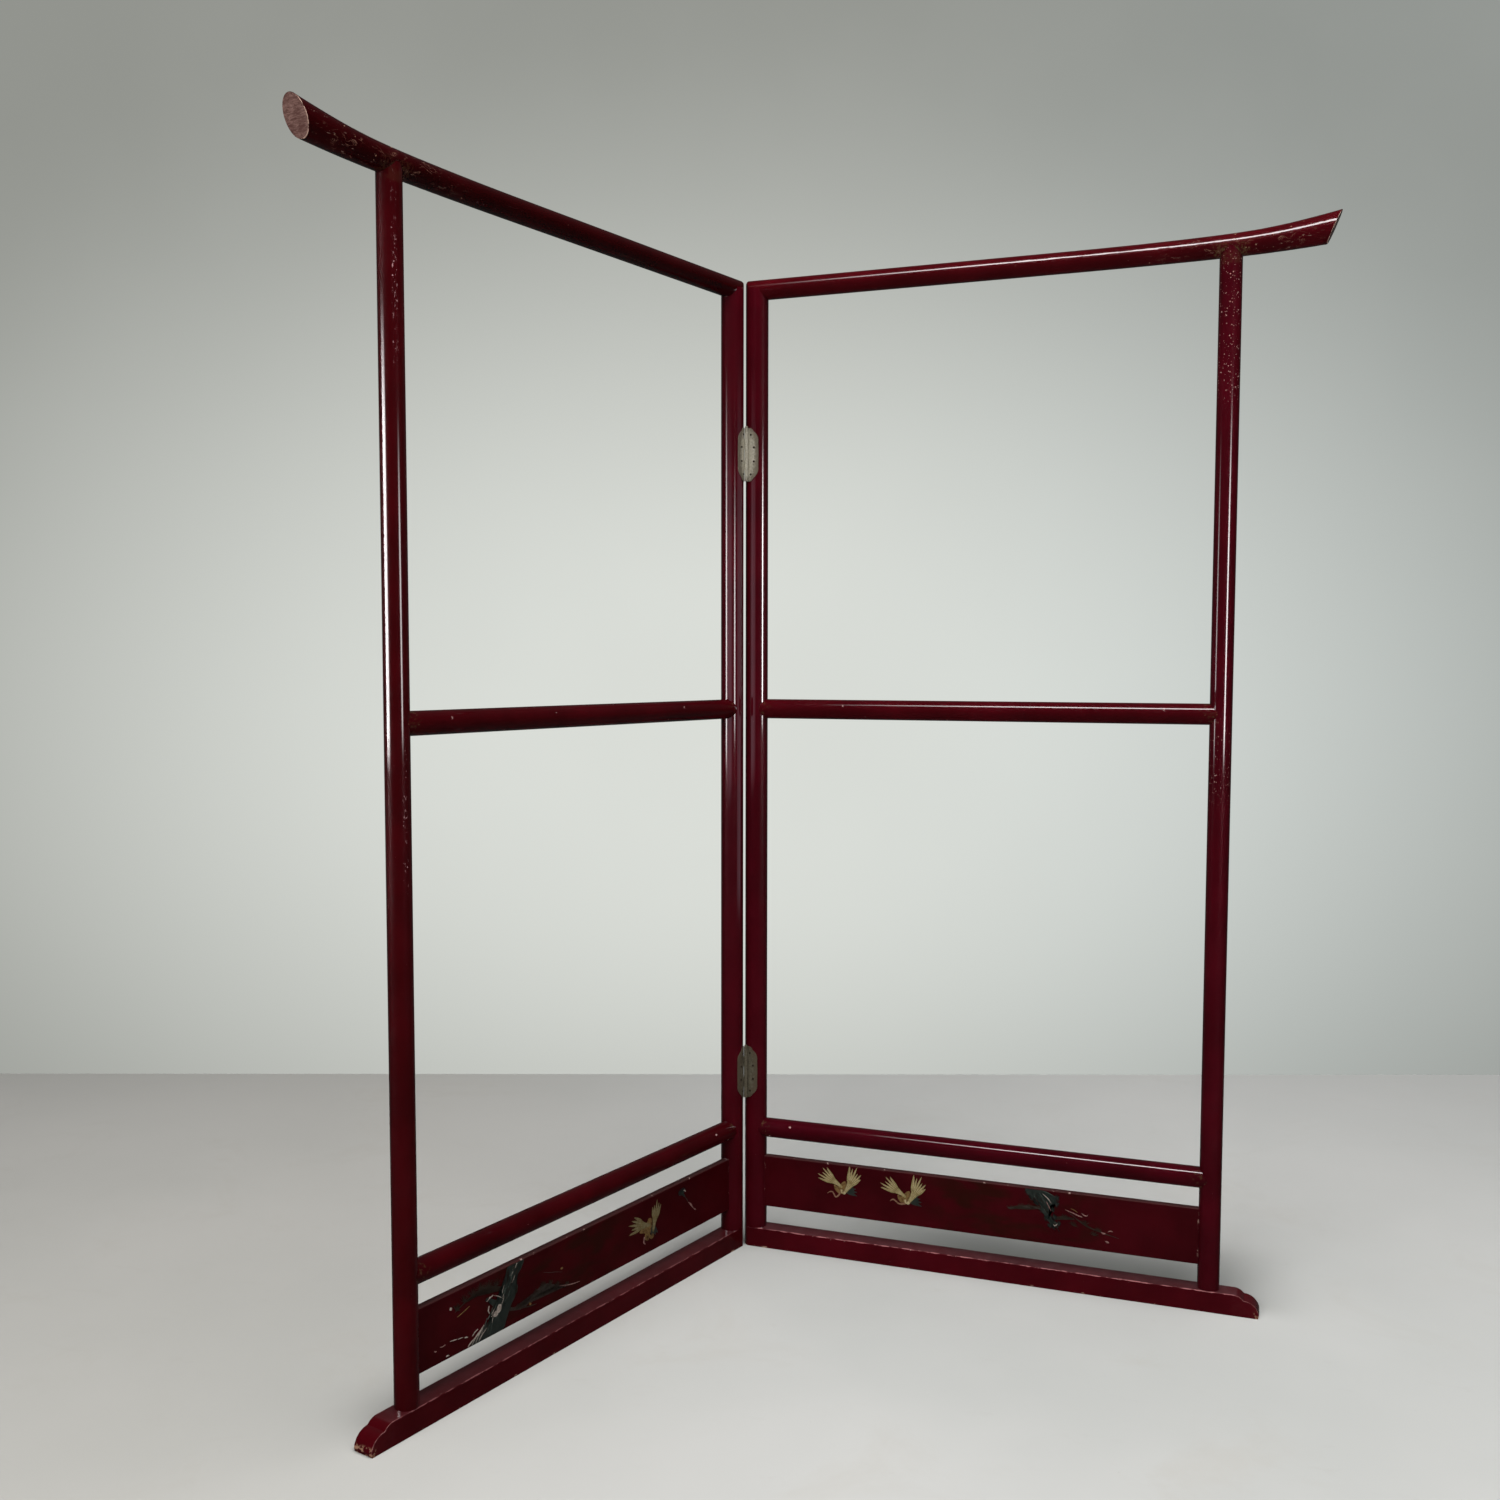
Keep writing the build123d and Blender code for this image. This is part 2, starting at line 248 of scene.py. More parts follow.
def lacquer(name, side, wear, tone=1.0, purple=0.0, gloss=SATIN, coat=0.9, polish=0.035):
    """Glossy dark crimson lacquer.

    wear(paint, side, vector, u, w, z) gives [(mask, colour, roughness)].
    """
    p = Paint(name)
    vector, u, w, z = p.leaf(side)
    cloud = p.smooth(p.noise(vector, 0.010, 3.0, 0.55), 0.30, 0.72)
    fine = p.noise(vector, 0.35, 3.0, 0.6)
    shade = p.math("ADD", p.mul(cloud, 0.8), p.mul(fine, 0.25), clamp=True)
    deep, bright = (
        (c[0] * tone, c[1] * tone, c[2] * tone * (1.0 + purple)) for c in (CRIMSON_DEEP, CRIMSON)
    )
    colour = p.mix(shade, deep, bright)
    smudge = p.smooth(p.noise(vector, 0.028, 4.0, 0.65, 0.4), 0.42, 0.75)
    rough = p.blend(smudge, *gloss)
    height = p.add(p.noise(vector, 0.009, 1.0, 0.4), p.mul(p.noise(vector, 0.16, 1.0), 0.003))
    dents = []
    for mask, tint, matt in wear(p, side, vector, u, w, z):
        colour = p.mix(mask, colour, tint)
        rough = p.blend(mask, rough, matt)
        dents.append(mask)
    # Fine dust and pinpricks everywhere
    dust = p.specks(vector, 9.0, 0.55, 0.22)
    colour = p.mix(p.mul(dust, 0.55), colour, PALE_DUST)
    normal = p.bump(height, 0.30, 0.0008)
    normal = p.bump(p.sub(1.0, p.any_of(*dents)), 0.5, 0.00025, normal)
    return p.surface(
        {
            "IOR": GLOSS_IOR,
            "Specular IOR Level": 0.06,
            "Coat Weight": coat,
            "Coat Roughness": polish,
            "Coat IOR": GLOSS_IOR,
            "Base Color": colour,
            "Roughness": rough,
            "Normal": normal,
        }
    )


def facing(p, side, way):
    """How squarely the surface faces a direction given as (u, w, z) shares."""
    origin = leaf_point(side, 0, 0, 0)
    direction = leaf_point(side, *(MM_PER_M * share for share in way)) - origin
    return p.dot(p.place("Normal"), direction.normalized())


def round_post(p, u, w, degrees):
    """Cosine of the angle round the outer post from a direction given from +u towards +w."""
    a = math.radians(degrees)
    du, dw = p.sub(u, OUTER_POST_U), p.sub(w, POST_W)
    dot = p.add(p.mul(du, math.cos(a)), p.mul(dw, math.sin(a)))
    return p.math("DIVIDE", dot, p.any_of(p.length(du, dw), 0.01))


def chips(p, vector, region, cell, size, share, tint):
    """Small chips in a region: their spacing and size in millimetres, and how many are there."""
    return (p.mul(region, p.specks(vector, cell, size, share)), tint, 0.6)


def left_post_wear(p, side, vector, u, w, z):
    """Two narrow rubbed columns, high and low, with chips."""
    upper = p.mul(p.smooth(round_post(p, u, w, 66), 0.965, 0.992), p.band(z, 1400, 1640, 25))
    lower = p.mul(p.smooth(round_post(p, u, w, 80), 0.965, 0.992), p.band(z, 735, 925, 20))
    place = p.any_of(upper, lower)
    ragged = p.smooth(p.noise(vector, 0.05, 3.0), 0.42, 0.55)
    rub = p.smooth(p.noise(p.scaled(vector, 1, 1, 0.35), 0.45, 4.0, 0.7), 0.58, 0.66)
    joint = p.smooth(p.noise(vector, 0.11, 3.0), 0.45, 0.6)
    joint = p.mul(p.band(z, JOINT_LOW, JOINT_HIGH, 5), joint)
    return [
        (p.all_of(place, ragged, rub), PINK_GROUND, 0.55),
        chips(p, vector, place, 5.0, 1.3, 0.55, (0.55, 0.30, 0.32)),
        chips(p, vector, p.smooth(z, 20, 60), 46.0, 2.2, 0.30, (0.50, 0.22, 0.20)),
        (p.mul(joint, 0.08), OLIVE_GRIME, 0.6),
    ]


def right_post_wear(p, side, vector, u, w, z):
    """Dense pinpoint chips over the front, high and low."""
    front = p.smooth(round_post(p, u, w, 88), 0.10, 0.60)
    place = p.mul(front, p.any_of(p.band(z, 1435, 1650, 30), p.band(z, 820, 930, 25)))
    joint = p.smooth(p.noise(vector, 0.22, 4.0, 0.65), 0.42, 0.56)
    joint = p.mul(p.band(z, JOINT_LOW, JOINT_HIGH, 4), joint)
    return [
        chips(p, vector, place, 3.4, 1.0, 0.66, (0.50, 0.27, 0.24)),
        chips(p, vector, place, 6.0, 1.4, 0.55, (0.62, 0.40, 0.36)),
        chips(p, vector, p.smooth(z, 20, 60), 42.0, 1.9, 0.28, (0.48, 0.24, 0.20)),
        (p.mul(joint, 0.25), (0.060, 0.034, 0.014), 0.6),
    ]


def hinge_post_wear(p, side, vector, u, w, z):
    anywhere = p.smooth(z, 20, 60)
    return [
        chips(p, vector, anywhere, 42.0, 2.4, 0.45, (0.58, 0.32, 0.30)),
        chips(p, vector, anywhere, 22.0, 0.9, 0.30, (0.32, 0.16, 0.14)),
    ]


def rail_wear(p, side, vector, u, w, z):
    """A few chips, and grime in the seams with the posts."""
    everywhere = p.smooth(u, 0, 10)
    ends = p.any_of(p.smooth(u, 48, 32), p.smooth(u, 744, 760))
    seam = p.mul(ends, p.smooth(p.noise(vector, 0.16, 4.0, 0.6), 0.54, 0.64))
    return [
        chips(p, vector, everywhere, 34.0, 2.6, 0.60, (0.60, 0.38, 0.36)),
        chips(p, vector, everywhere, 19.0, 0.9, 0.32, (0.40, 0.22, 0.20)),
        (p.mul(seam, 0.45), OLIVE_GRIME, 0.55),
        chips(p, vector, ends, 3.6, 0.7, 0.22, (0.26, 0.15, 0.09)),
    ]


def top_rail_wear(p, side, vector, u, w, z):
    everywhere = p.smooth(u, 0, 10)
    out = p.smooth(u, 640, 720)
    inside = p.smooth(w, POST_W, POST_W + 6)
    towards_horn = p.mul(p.smooth(u, 380, 520), inside)
    rows = [
        chips(p, vector, everywhere, 40.0, 1.9, 0.32, (0.48, 0.26, 0.22)),
        chips(p, vector, out, 8.0, 1.3, 0.34, (0.46, 0.28, 0.18)),
        chips(p, vector, towards_horn, 11.0, 1.1, 0.30, (0.42, 0.22, 0.16)),
    ]
    # Crazed, scratched lacquer on the horn
    warp = p.noise(p.scaled(vector, 0.5, 1, 1), 0.10, 3.0, 0.6, 0.6)
    crack = p.math("ABSOLUTE", p.sub(warp, 0.5))
    worn = p.smooth(p.noise(vector, 0.06, 3.0, 0.6), 0.46, 0.60)
    crazed = p.all_of(out, inside, p.smooth(z, 1676, 1668), worn, p.smooth(crack, 0.012, 0.004))
    rows.append((p.mul(crazed, 0.55), (0.26, 0.13, 0.09), 0.5))
    streaks = p.noise(p.scaled(vector, 0.10, 0.5, 0.5), 0.9, 4.0, 0.65, 0.8)
    scratch = p.all_of(out, inside, p.smooth(streaks, 0.665, 0.69))
    rows.append((p.mul(scratch, 0.6), (0.30, 0.20, 0.16), 0.5))
    # Rubbed lacquer round the post's joint
    joint = p.band(u, OUTER_POST_U - 25, OUTER_POST_U + 25, 5)
    joint = p.mul(joint, p.smooth(z, 1668, 1654))
    grime = p.mul(joint, p.smooth(p.noise(vector, 0.22, 4.0, 0.65), 0.46, 0.60))
    share = 0.75 if side == "right" else 0.25
    rows.append((p.mul(grime, share), (0.085, 0.052, 0.022), 0.6))
    rows.append(chips(p, vector, p.mul(joint, share), 4.5, 1.1, 0.6, (0.50, 0.30, 0.18)))
    # The sawn end: bare wood, soiled in patches, with a chipped rim
    square = facing(p, side, (math.cos(HORN_SLANT), 0, -math.sin(HORN_SLANT)))
    tip = p.smooth(u, 880, 890)
    rim = p.mul(p.band(square, 0.55, 0.93, 0.06), tip)
    rim = p.mul(rim, p.smooth(p.noise(vector, 0.16, 4.0, 0.65), 0.42, 0.54))
    grain = p.noise(p.scaled(vector, 0.6, 0.25, 1.6), 0.30, 4.0, 0.7, 1.2)
    wood = p.mix(p.smooth(grain, 0.36, 0.66), (0.095, 0.045, 0.038), (0.225, 0.130, 0.112))
    soiled = p.smooth(p.noise(vector, 0.07, 3.0, 0.6), 0.45, 0.70, 0.0, 0.55)
    wood = p.mix(soiled, wood, (0.075, 0.032, 0.028))
    rows.append((p.mul(p.smooth(square, 0.93, 0.97), tip), wood, 0.62))
    rows.append((p.mul(rim, 0.9), (0.46, 0.30, 0.24), 0.6))
    return rows


def base_wear(p, side, vector, u, w, z):
    """Rubbed edges: the long upper edges, which carry a painted highlight too, the lower edge on
    the floor and the scroll.
    """
    rows = []
    front = 0.9 if side == "right" else 0.35
    # Along each long upper edge a pale pink broken line: rubbed lacquer and a painted highlight,
    # strongest on the right leaf's front edge
    for edge_w, strength in ((POST_W + BASE_HALF, front), (POST_W - BASE_HALF, 0.6)):
        away = p.length(p.sub(w, edge_w), p.sub(z, BASE_TOP))
        broken = p.noise(p.scaled(vector, 0.25, 1, 1), 0.22, 4.0, 0.65)
        reach = p.smooth(broken, 0.38, 0.66, 0.0, 1.55)
        line = p.mul(p.smooth(p.sub(away, reach), 0.35, -0.15), strength)
        rows.append((p.mul(line, 0.85), (0.40, 0.155, 0.16), 0.5))
        broken_off = p.smooth(p.noise(vector, 0.09, 4.0, 0.7), 0.655, 0.70)
        broken_off = p.mul(broken_off, p.smooth(away, 4.0, 2.4))
        rows.append((p.mul(broken_off, strength), (0.50, 0.30, 0.27), 0.6))
    foot = p.smooth(p.noise(vector, 0.045, 5.0, 0.75), 0.60, 0.66)
    rows.append((p.mul(p.smooth(z, 3.2, 1.4), foot), (0.38, 0.25, 0.18), 0.65))
    # Dust lying on the flat top, and a painted sheen where the top reflects the pale wall,
    # stronger on the right leaf
    top = p.mul(p.smooth(z, BASE_TOP - 1.2, BASE_TOP - 0.2), p.smooth(u, 10, 30))
    dust_and_sheen = p.mul(top, p.smooth(p.noise(vector, 0.05, 4.0, 0.6), 0.3, 0.8, 0.25, 0.6))
    rows.append((p.mul(dust_and_sheen, 0.20 * front + 0.03), (0.28, 0.17, 0.18), 0.35))
    rows.append(chips(p, vector, p.smooth(z, 0, 2), 38.0, 2.2, 0.34, (0.50, 0.28, 0.26)))
    # Bare wood at the tip
    tip = p.mul(p.smooth(u, 846, 853), p.smooth(z, 14, 8))
    tip = p.mul(tip, p.smooth(p.noise(vector, 0.2, 3.0), 0.50, 0.60))
    rows.append((tip, (0.26, 0.14, 0.09), 0.65))
    # The rounded edges of the scroll
    turned = facing(p, side, (0, 1, 0))
    ridge = p.mul(p.smooth(u, 812, 820), p.band(turned, 0.45, 0.90, 0.12))
    ridge = p.mul(ridge, p.smooth(p.noise(vector, 0.2, 3.0, 0.6), 0.35, 0.6, 0.25, 0.9))
    rows.append((p.mul(ridge, 0.6), (0.38, 0.19, 0.18), 0.5))
    return rows


def board_wear(p, side, vector, u, w, z):
    front = p.smooth(w, BOARD_FACE - 0.8, BOARD_FACE - 0.2)
    # Soot-dark painted ground: the mist and far branches of the scene
    mist = p.noise(p.scaled(vector, 0.45, 1, 1.25), 0.030, 4.0, 0.55, 0.5)
    place = p.band(u, 330, 640, 60) if side == "left" else p.band(u, 330, 600, 55)
    mist = p.all_of(front, place, p.smooth(mist, 0.42, 0.68))
    edge_chips = p.smooth(p.noise(vector, 0.08, 4.0, 0.7), 0.655, 0.70)
    edge_chips = p.mul(p.smooth(z, 159.5, 161.2), edge_chips)
    seam = p.any_of(p.smooth(u, 32.6, 31.4), p.smooth(u, 760.6, 761.6))
    cracked = p.noise(p.scaled(vector, 1, 1, 0.5), 0.16, 5.0, 0.75)
    seam = p.mul(seam, p.smooth(cracked, 0.55, 0.62))
    return [
        (p.mul(mist, 0.8), MIST, 0.45),
        # A faint pale band on the board's top face: a painted reflection of the pale wall
        (p.mul(p.smooth(z, 160.0, 161.4), 0.12), (0.26, 0.16, 0.15), 0.3),
        (edge_chips, (0.50, 0.34, 0.30), 0.6),
        (p.mul(seam, 0.6), (0.36, 0.22, 0.18), 0.6),
        chips(p, vector, front, 60.0, 1.6, 0.40, (0.46, 0.32, 0.30)),
    ]


WEAR = {
    "outer_post": {"left": left_post_wear, "right": right_post_wear},
    "hinge_post": hinge_post_wear,
    "top_rail": top_rail_wear,
    "middle_rail": rail_wear,
    "lower_rail": rail_wear,
    "base_rail": base_wear,
    "painted_board": board_wear,
}

# How bright and how purple each part's lacquer is, then its undercoat's roughness, its coat's
# weight and its coat's roughness where they differ from the others'
FINISHES = {
    "left": {
        "outer_post": (0.85, -0.1),
        "hinge_post": (1.05, 0.35, SATIN, 0.9, 0.07),
        "top_rail": (0.50, -0.2),
        "base_rail": (1.0, 0.0),
        "painted_board": (0.78, 0.0, DULL, 0.25, 0.16),
        "middle_rail": (0.9, 0.0),
        "lower_rail": (0.74, 0.0),
    },
    "right": {
        "outer_post": (1.1, 0.4),
        "hinge_post": (1.08, 0.4, SATIN, 0.9, 0.055),
        "top_rail": (1.0, 0.0),
        "base_rail": (1.15, 0.2),
        "painted_board": (0.86, 0.2, DULL, 0.2, 0.16),
        "middle_rail": (1.05, 0.1),
        "lower_rail": (0.86, 0.5),
    },
}


def dress(node, material):
    """Gives a CAD node its material."""
    for slot in nodes[node].material_slots:
        slot.material = material


for side in SIDES:
    for part, finish in FINISHES[side].items():
        wear = WEAR[part]
        if isinstance(wear, dict):
            wear = wear[side]
        dress(f"{side}_{part}", lacquer(f"{side}_{part}_lacquer", side, wear, *finish))


# ---- hinges


def hinge_metal(name, piece, side, dull):
    """Old nickel on brass: pale in the middle, with painted shade turning it brown towards its
    outer edge.
    """
    p = Paint(name)
    mm, u, w, z = p.leaf(side)
    corner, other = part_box(piece)
    middle, half = MM_PER_M / 2 * (corner.z + other.z), MM_PER_M / 2 * (other.z - corner.z)
    reach = 0.14 * half + 9.0
    high = p.math("DIVIDE", p.math("ABSOLUTE", p.sub(z, middle)), half)
    out = p.length(high, p.math("DIVIDE", u, reach))
    cloud = p.noise(mm, 0.07, 4.0, 0.6)
    grime = p.smooth(cloud, 0.55, 0.85, 0.0, 0.7)
    spots = p.specks(mm, 6.0, 0.9, 0.25)
    light, dark = ((0.62, 0.58, 0.48), (0.46, 0.42, 0.33))
    if dull:
        light, dark = ((0.20, 0.175, 0.125), (0.13, 0.11, 0.075))
    clean = p.mix(p.smooth(p.noise(mm, 0.4, 3.0), 0.35, 0.7), light, dark)
    # Painted shade: browner and darker towards the plate's outer edges, where the curved plate
    # turns from the light
    ragged = p.mul(p.noise(mm, 0.25, 3.0, 0.6), 0.7)
    brown = p.smooth(p.add(out, ragged), 1.02, 1.55, 0.0, 0.8)
    stains_and_edge_shade = p.any_of(grime, brown, p.mul(spots, 0.6))
    height = p.add(p.mul(p.noise(mm, 0.9, 3.0, 0.6), 0.15), cloud)
    return p.surface(
        {
            "Metallic": 0.55,
            "IOR": GLOSS_IOR,
            "Base Color": p.mix(stains_and_edge_shade, clean, (0.13, 0.10, 0.065)),
            "Roughness": p.blend(stains_and_edge_shade, 0.38 if dull else 0.30, 0.5),
            "Normal": p.bump(height, 0.20, 0.0002),
        }
    )


def nail_metal(name):
    p = Paint(name)
    mm = p.scaled(p.place(), MM_PER_M, MM_PER_M, MM_PER_M)
    rust = p.smooth(p.noise(mm, 1.4, 4.0, 0.6), 0.42, 0.62)
    return p.surface(
        {
            "Metallic": 0.7,
            "IOR": GLOSS_IOR,
            "Base Color": p.mix(rust, (0.035, 0.032, 0.030), (0.080, 0.045, 0.025)),
            "Roughness": p.blend(rust, 0.38, 0.65),
            "Normal": p.bump(p.noise(mm, 2.2, 3.0, 0.6), 0.4, 0.0002),
        }
    )


nail_finish = nail_metal("dark_iron")
for level, dull in (("upper", False), ("lower", True)):
    for piece, side in (("left_plate", "left"), ("right_plate", "right"), ("pin", "right")):
        node = f"{level}_hinge_{piece}"
        dress(node, hinge_metal(f"{node}_nickel", node, side, dull))
    for side in SIDES:
        dress(f"{level}_hinge_{side}_nails", nail_finish)


# ---- painted scene


def pigment(name, light, dark, scale, rough, metal):
    """A worn raised pigment: two tones that mix in brush-sized patches, with cracks."""
    p = Paint(name)
    mm = p.scaled(p.place(), MM_PER_M, MM_PER_M, MM_PER_M)
    patch = p.noise(mm, scale, 4.0, 0.6, 0.5)
    fine = p.noise(mm, 1.6, 3.0, 0.7)
    worn = p.smooth(p.add(p.mul(patch, 0.75), p.mul(fine, 0.25)), 0.40, 0.62)
    return p.surface(
        {
            "Metallic": metal,
            "IOR": GLOSS_IOR,
            "Base Color": p.mix(worn, light, dark),
            "Roughness": p.blend(worn, rough, rough + 0.2),
            "Normal": p.bump(fine, 0.5, 0.0003),
        }
    )


GOLD = pigment("worn_gold", (0.31, 0.255, 0.115), (0.205, 0.155, 0.060), 0.22, 0.5, 0.2)
OLIVE_GOLD = pigment("olive_gold", (0.175, 0.145, 0.062), (0.115, 0.088, 0.035), 0.22, 0.5, 0.2)
OCHRE = pigment("ochre", (0.24, 0.19, 0.11), (0.15, 0.11, 0.055), 0.25, 0.5, 0.2)
GOLD_PALE = pigment("pale_gold", (0.46, 0.38, 0.22), (0.30, 0.23, 0.11), 0.3, 0.5, 0.2)
BRONZE = pigment("bronze_brown", (0.19, 0.11, 0.035), (0.085, 0.042, 0.014), 0.25, 0.5, 0.2)
BRONZE_PALE = pigment("bronze_pale", (0.23, 0.12, 0.075), (0.12, 0.055, 0.03), 0.3, 0.5, 0.1)
PINE = pigment("pine_green", (0.009, 0.013, 0.011), (0.020, 0.025, 0.021), 0.20, 0.5, 0.0)
PINE_FAINT = pigment("faint_green", (0.016, 0.009, 0.006), (0.024, 0.016, 0.010), 0.08, 0.5, 0.0)
BARK_FAINT = pigment("faint_bark", (0.034, 0.026, 0.020), (0.022, 0.014, 0.011), 0.3, 0.55, 0.0)
BARK = pigment("bark_grey", (0.050, 0.064, 0.052), (0.020, 0.028, 0.023), 0.4, 0.55, 0.0)
INK = pigment("ink", (0.004, 0.006, 0.006), (0.012, 0.014, 0.012), 0.2, 0.3, 0.0)
ASH = pigment("ash_pink", (0.28, 0.15, 0.13), (0.13, 0.065, 0.06), 0.3, 0.5, 0.0)
SHELL = pigment("shell_grey", (0.34, 0.29, 0.25), (0.17, 0.13, 0.11), 0.3, 0.5, 0.0)

THINNEST_STROKE = 0.15
RELIEF_ROOT = 0.3  # how far the shapes reach below the face that they stand on
STACK_STEP = 0.003  # each new shape stands this much higher, so that no two share a plane


def between(a, b, c, d, t):
    """The number at t on a Catmull-Rom curve's span from b to c."""
    square = (2 * a - 5 * b + 4 * c - d) * t * t
    cube = (3 * b - a - 3 * c + d) * t**3
    return 0.5 * (2 * b + (c - a) * t + square + cube)


def smooth_line(points, steps, closed=False):
    """Catmull-Rom curve through the points; every point is a tuple of the same length."""
    count = len(points)
    out = []
    spans = count if closed else count - 1
    for i in range(spans):
        if closed:
            a, b, c, d = (points[(i + k - 1) % count] for k in range(4))
        else:
            a, b = points[max(i - 1, 0)], points[i]
            c, d = points[i + 1], points[min(i + 2, count - 1)]
        for s in range(steps):
            t = s / steps
            out.append(tuple(between(*four, t) for four in zip(a, b, c, d)))
    if not closed:
        out.append(tuple(points[-1]))
    return out


def brush(points, steps):
    """Outline of a brush stroke given as (u, z, width) points."""
    line = smooth_line(points, steps)
    left, right = [], []
    for i, (u, z, width) in enumerate(line):
        before, after = line[max(i - 1, 0)], line[min(i + 1, len(line) - 1)]
        du, dz = after[0] - before[0], after[1] - before[1]
        size = math.hypot(du, dz) or 1.0
        half = max(width, THINNEST_STROKE) / 2
        left.append((u - dz / size * half, z + du / size * half))
        right.append((u + dz / size * half, z - du / size * half))
    return left + right[::-1]


class Relief:
    """A low relief on a board's front face, built from closed outlines.

    Its strokes and blobs are given in leaf millimetres, or in shares of a figure's size round
    the figure's own point (u, z).
    """

    def __init__(self, name, side, u=0.0, z=0.0, size=1.0):
        self.name, self.side = name, side
        self.u, self.z, self.size = u, z, size
        self.mesh = bmesh.new()
        self.materials = []
        self.step = 0.0

    def shape(self, outline, material, height):
        """A flat plate with the given outline, standing height above the board's face."""
        if material not in self.materials:
            self.materials.append(material)
        slot = self.materials.index(material)
        outline = [(u, min(max(z, BOARD_LOW), BOARD_HIGH)) for u, z in outline]
        self.step += STACK_STEP
        low, high = (
            [
                self.mesh.verts.new(leaf_point(self.side, u, BOARD_FACE + level, z))
                for u, z in outline
            ]
            for level in (-RELIEF_ROOT, height + self.step)
        )
        faces = [self.mesh.faces.new(low), self.mesh.faces.new(high)]
        count = len(outline)
        for i in range(count):
            j = (i + 1) % count
            faces.append(self.mesh.faces.new((low[i], low[j], high[j], high[i])))
        for face in faces:
            face.material_index = slot

    def placed(self, points):
        size = self.size
        return [
            (self.u + size * a, self.z + size * b, *(size * v for v in width))
            for a, b, *width in points
        ]

    def stroke(self, points, material, height, steps=6):
        self.shape(brush(self.placed(points), steps), material, height)

    def blob(self, points, material, height, steps=6):
        line = smooth_line(self.placed(points), steps, closed=True)
        self.shape(line, material, height)

    def finish(self):
        bmesh.ops.triangulate(self.mesh, faces=[f for f in self.mesh.faces if len(f.verts) > 4])
        bmesh.ops.recalc_face_normals(self.mesh, faces=self.mesh.faces)
        data = bpy.data.meshes.new(self.name)
        self.mesh.to_mesh(data)
        self.mesh.free()
        for material in self.materials:
            data.materials.append(material)
        made = new_object(self.name, data)
        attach(made, f"{self.side}_leaf")
        return made


def feather(relief, root, angle, length, width, material, height, bend):
    """One pointed feather from its root; angle in degrees from +u towards +z."""
    a = math.radians(angle)
    points = []
    for t, share in ((0, 0.5), (0.3, 1.0), (0.65, 0.72), (0.88, 0.34), (1.0, 0.04)):
        off = bend * length * t * t
        points.append(
            (
                root[0] + math.cos(a) * length * t - math.sin(a) * off,
                root[1] + math.sin(a) * length * t + math.cos(a) * off,
                width * share,
            )
        )
    relief.stroke(points, material, height)


def wing(relief, root, angle, length, chord, quills, splay, tones, height, bend):
    """A raised wing: narrow at the shoulder, broad at the wrist, ending in separate quills."""
    body, pale, gap = tones
    a = math.radians(angle)

    def at(along, across):
        return (
            root[0] + math.cos(a) * along * length - math.sin(a) * across * chord,
            root[1] + math.sin(a) * along * length + math.cos(a) * across * chord,
        )

    def quill(along, across, t, reach, width, tone, raised, turn=splay, bent=bend):
        start, size = at(along, across * t), (length * reach, chord * width)
        feather(relief, start, angle + turn * t, *size, tone, height + raised, bent)

    last = len(quills) - 1
    turns = [2.0 * i / last - 1.0 for i in range(last + 1)]
    for t, reach in zip(turns, quills):
        quill(0.40, 0.36, t, reach, 0.27, body, 0.0)
    arm = (
        (0.0, -0.12), (-0.02, 0.10), (0.20, 0.20), (0.42, 0.40), (0.60, 0.44), (0.66, 0.0),
        (0.60, -0.44), (0.42, -0.42), (0.20, -0.26),
    )
    relief.blob([at(x, y) for x, y in arm], body, height + 0.03)
    for i in range(last):
        quill(0.34, 0.32, 2.0 * (i + 0.5) / last - 1.0, 0.34, 0.05, gap, 0.06)
    for t, reach in zip(turns, quills):
        quill(0.46, 0.34, t, reach * 0.8, 0.08, pale, 0.10)
    for t in (-0.6, 0.0, 0.6):
        quill(0.06, 0.12, t, 0.36, 0.06, pale, 0.10, 10, 0.0)


def flying_crane(name, u, z, size, neck):
    """A generic crane in flight with both wings up and its head towards the hinge."""
    relief = Relief(name, "right", u, z, size)
    for i, angle in enumerate((28, 12, -4, -20)):
        feather(relief, (0.10, -0.14), angle, 0.42 + 0.03 * i, 0.15, PINE, 0.12, 0.04)
    # The far sides of the body and wings, in brown
    relief.blob(
        [
            (-0.30, 0.02), (-0.14, -0.02), (0.02, 0.16), (0.14, 0.18), (0.12, -0.10),
            (0.02, -0.24), (-0.12, -0.28), (-0.26, -0.16),
        ],
        BRONZE, 0.16,
    )
    tones = (GOLD, GOLD_PALE, BRONZE)
    wing(
        relief, (-0.02, -0.02), 149, 1.00, 0.31, (0.46, 0.56, 0.48, 0.60, 0.52), 19, tones, 0.22,
        -0.04,
    )
    wing(
        relief, (0.10, -0.22), 60, 1.08, 0.34, (0.36, 0.48, 0.44, 0.62, 0.50, 0.56), 21, tones,
        0.22, 0.03,
    )
    # Neck and head, drawn by its line of points, then the breast and legs
    relief.stroke(neck, BRONZE_PALE, 0.30)
    relief.stroke([(-0.02, -0.12, 0.07), (0.0, -0.22, 0.06), (0.06, -0.27, 0.03)], GOLD_PALE, 0.34)
    relief.stroke([(0.06, -0.06, 0.04), (0.04, -0.18, 0.05), (-0.05, -0.28, 0.03)], BRONZE, 0.32)
    relief.blob([(0.05, -0.20), (0.12, -0.18), (0.14, -0.25), (0.07, -0.29)], GOLD_PALE, 0.36)
    return relief.finish()


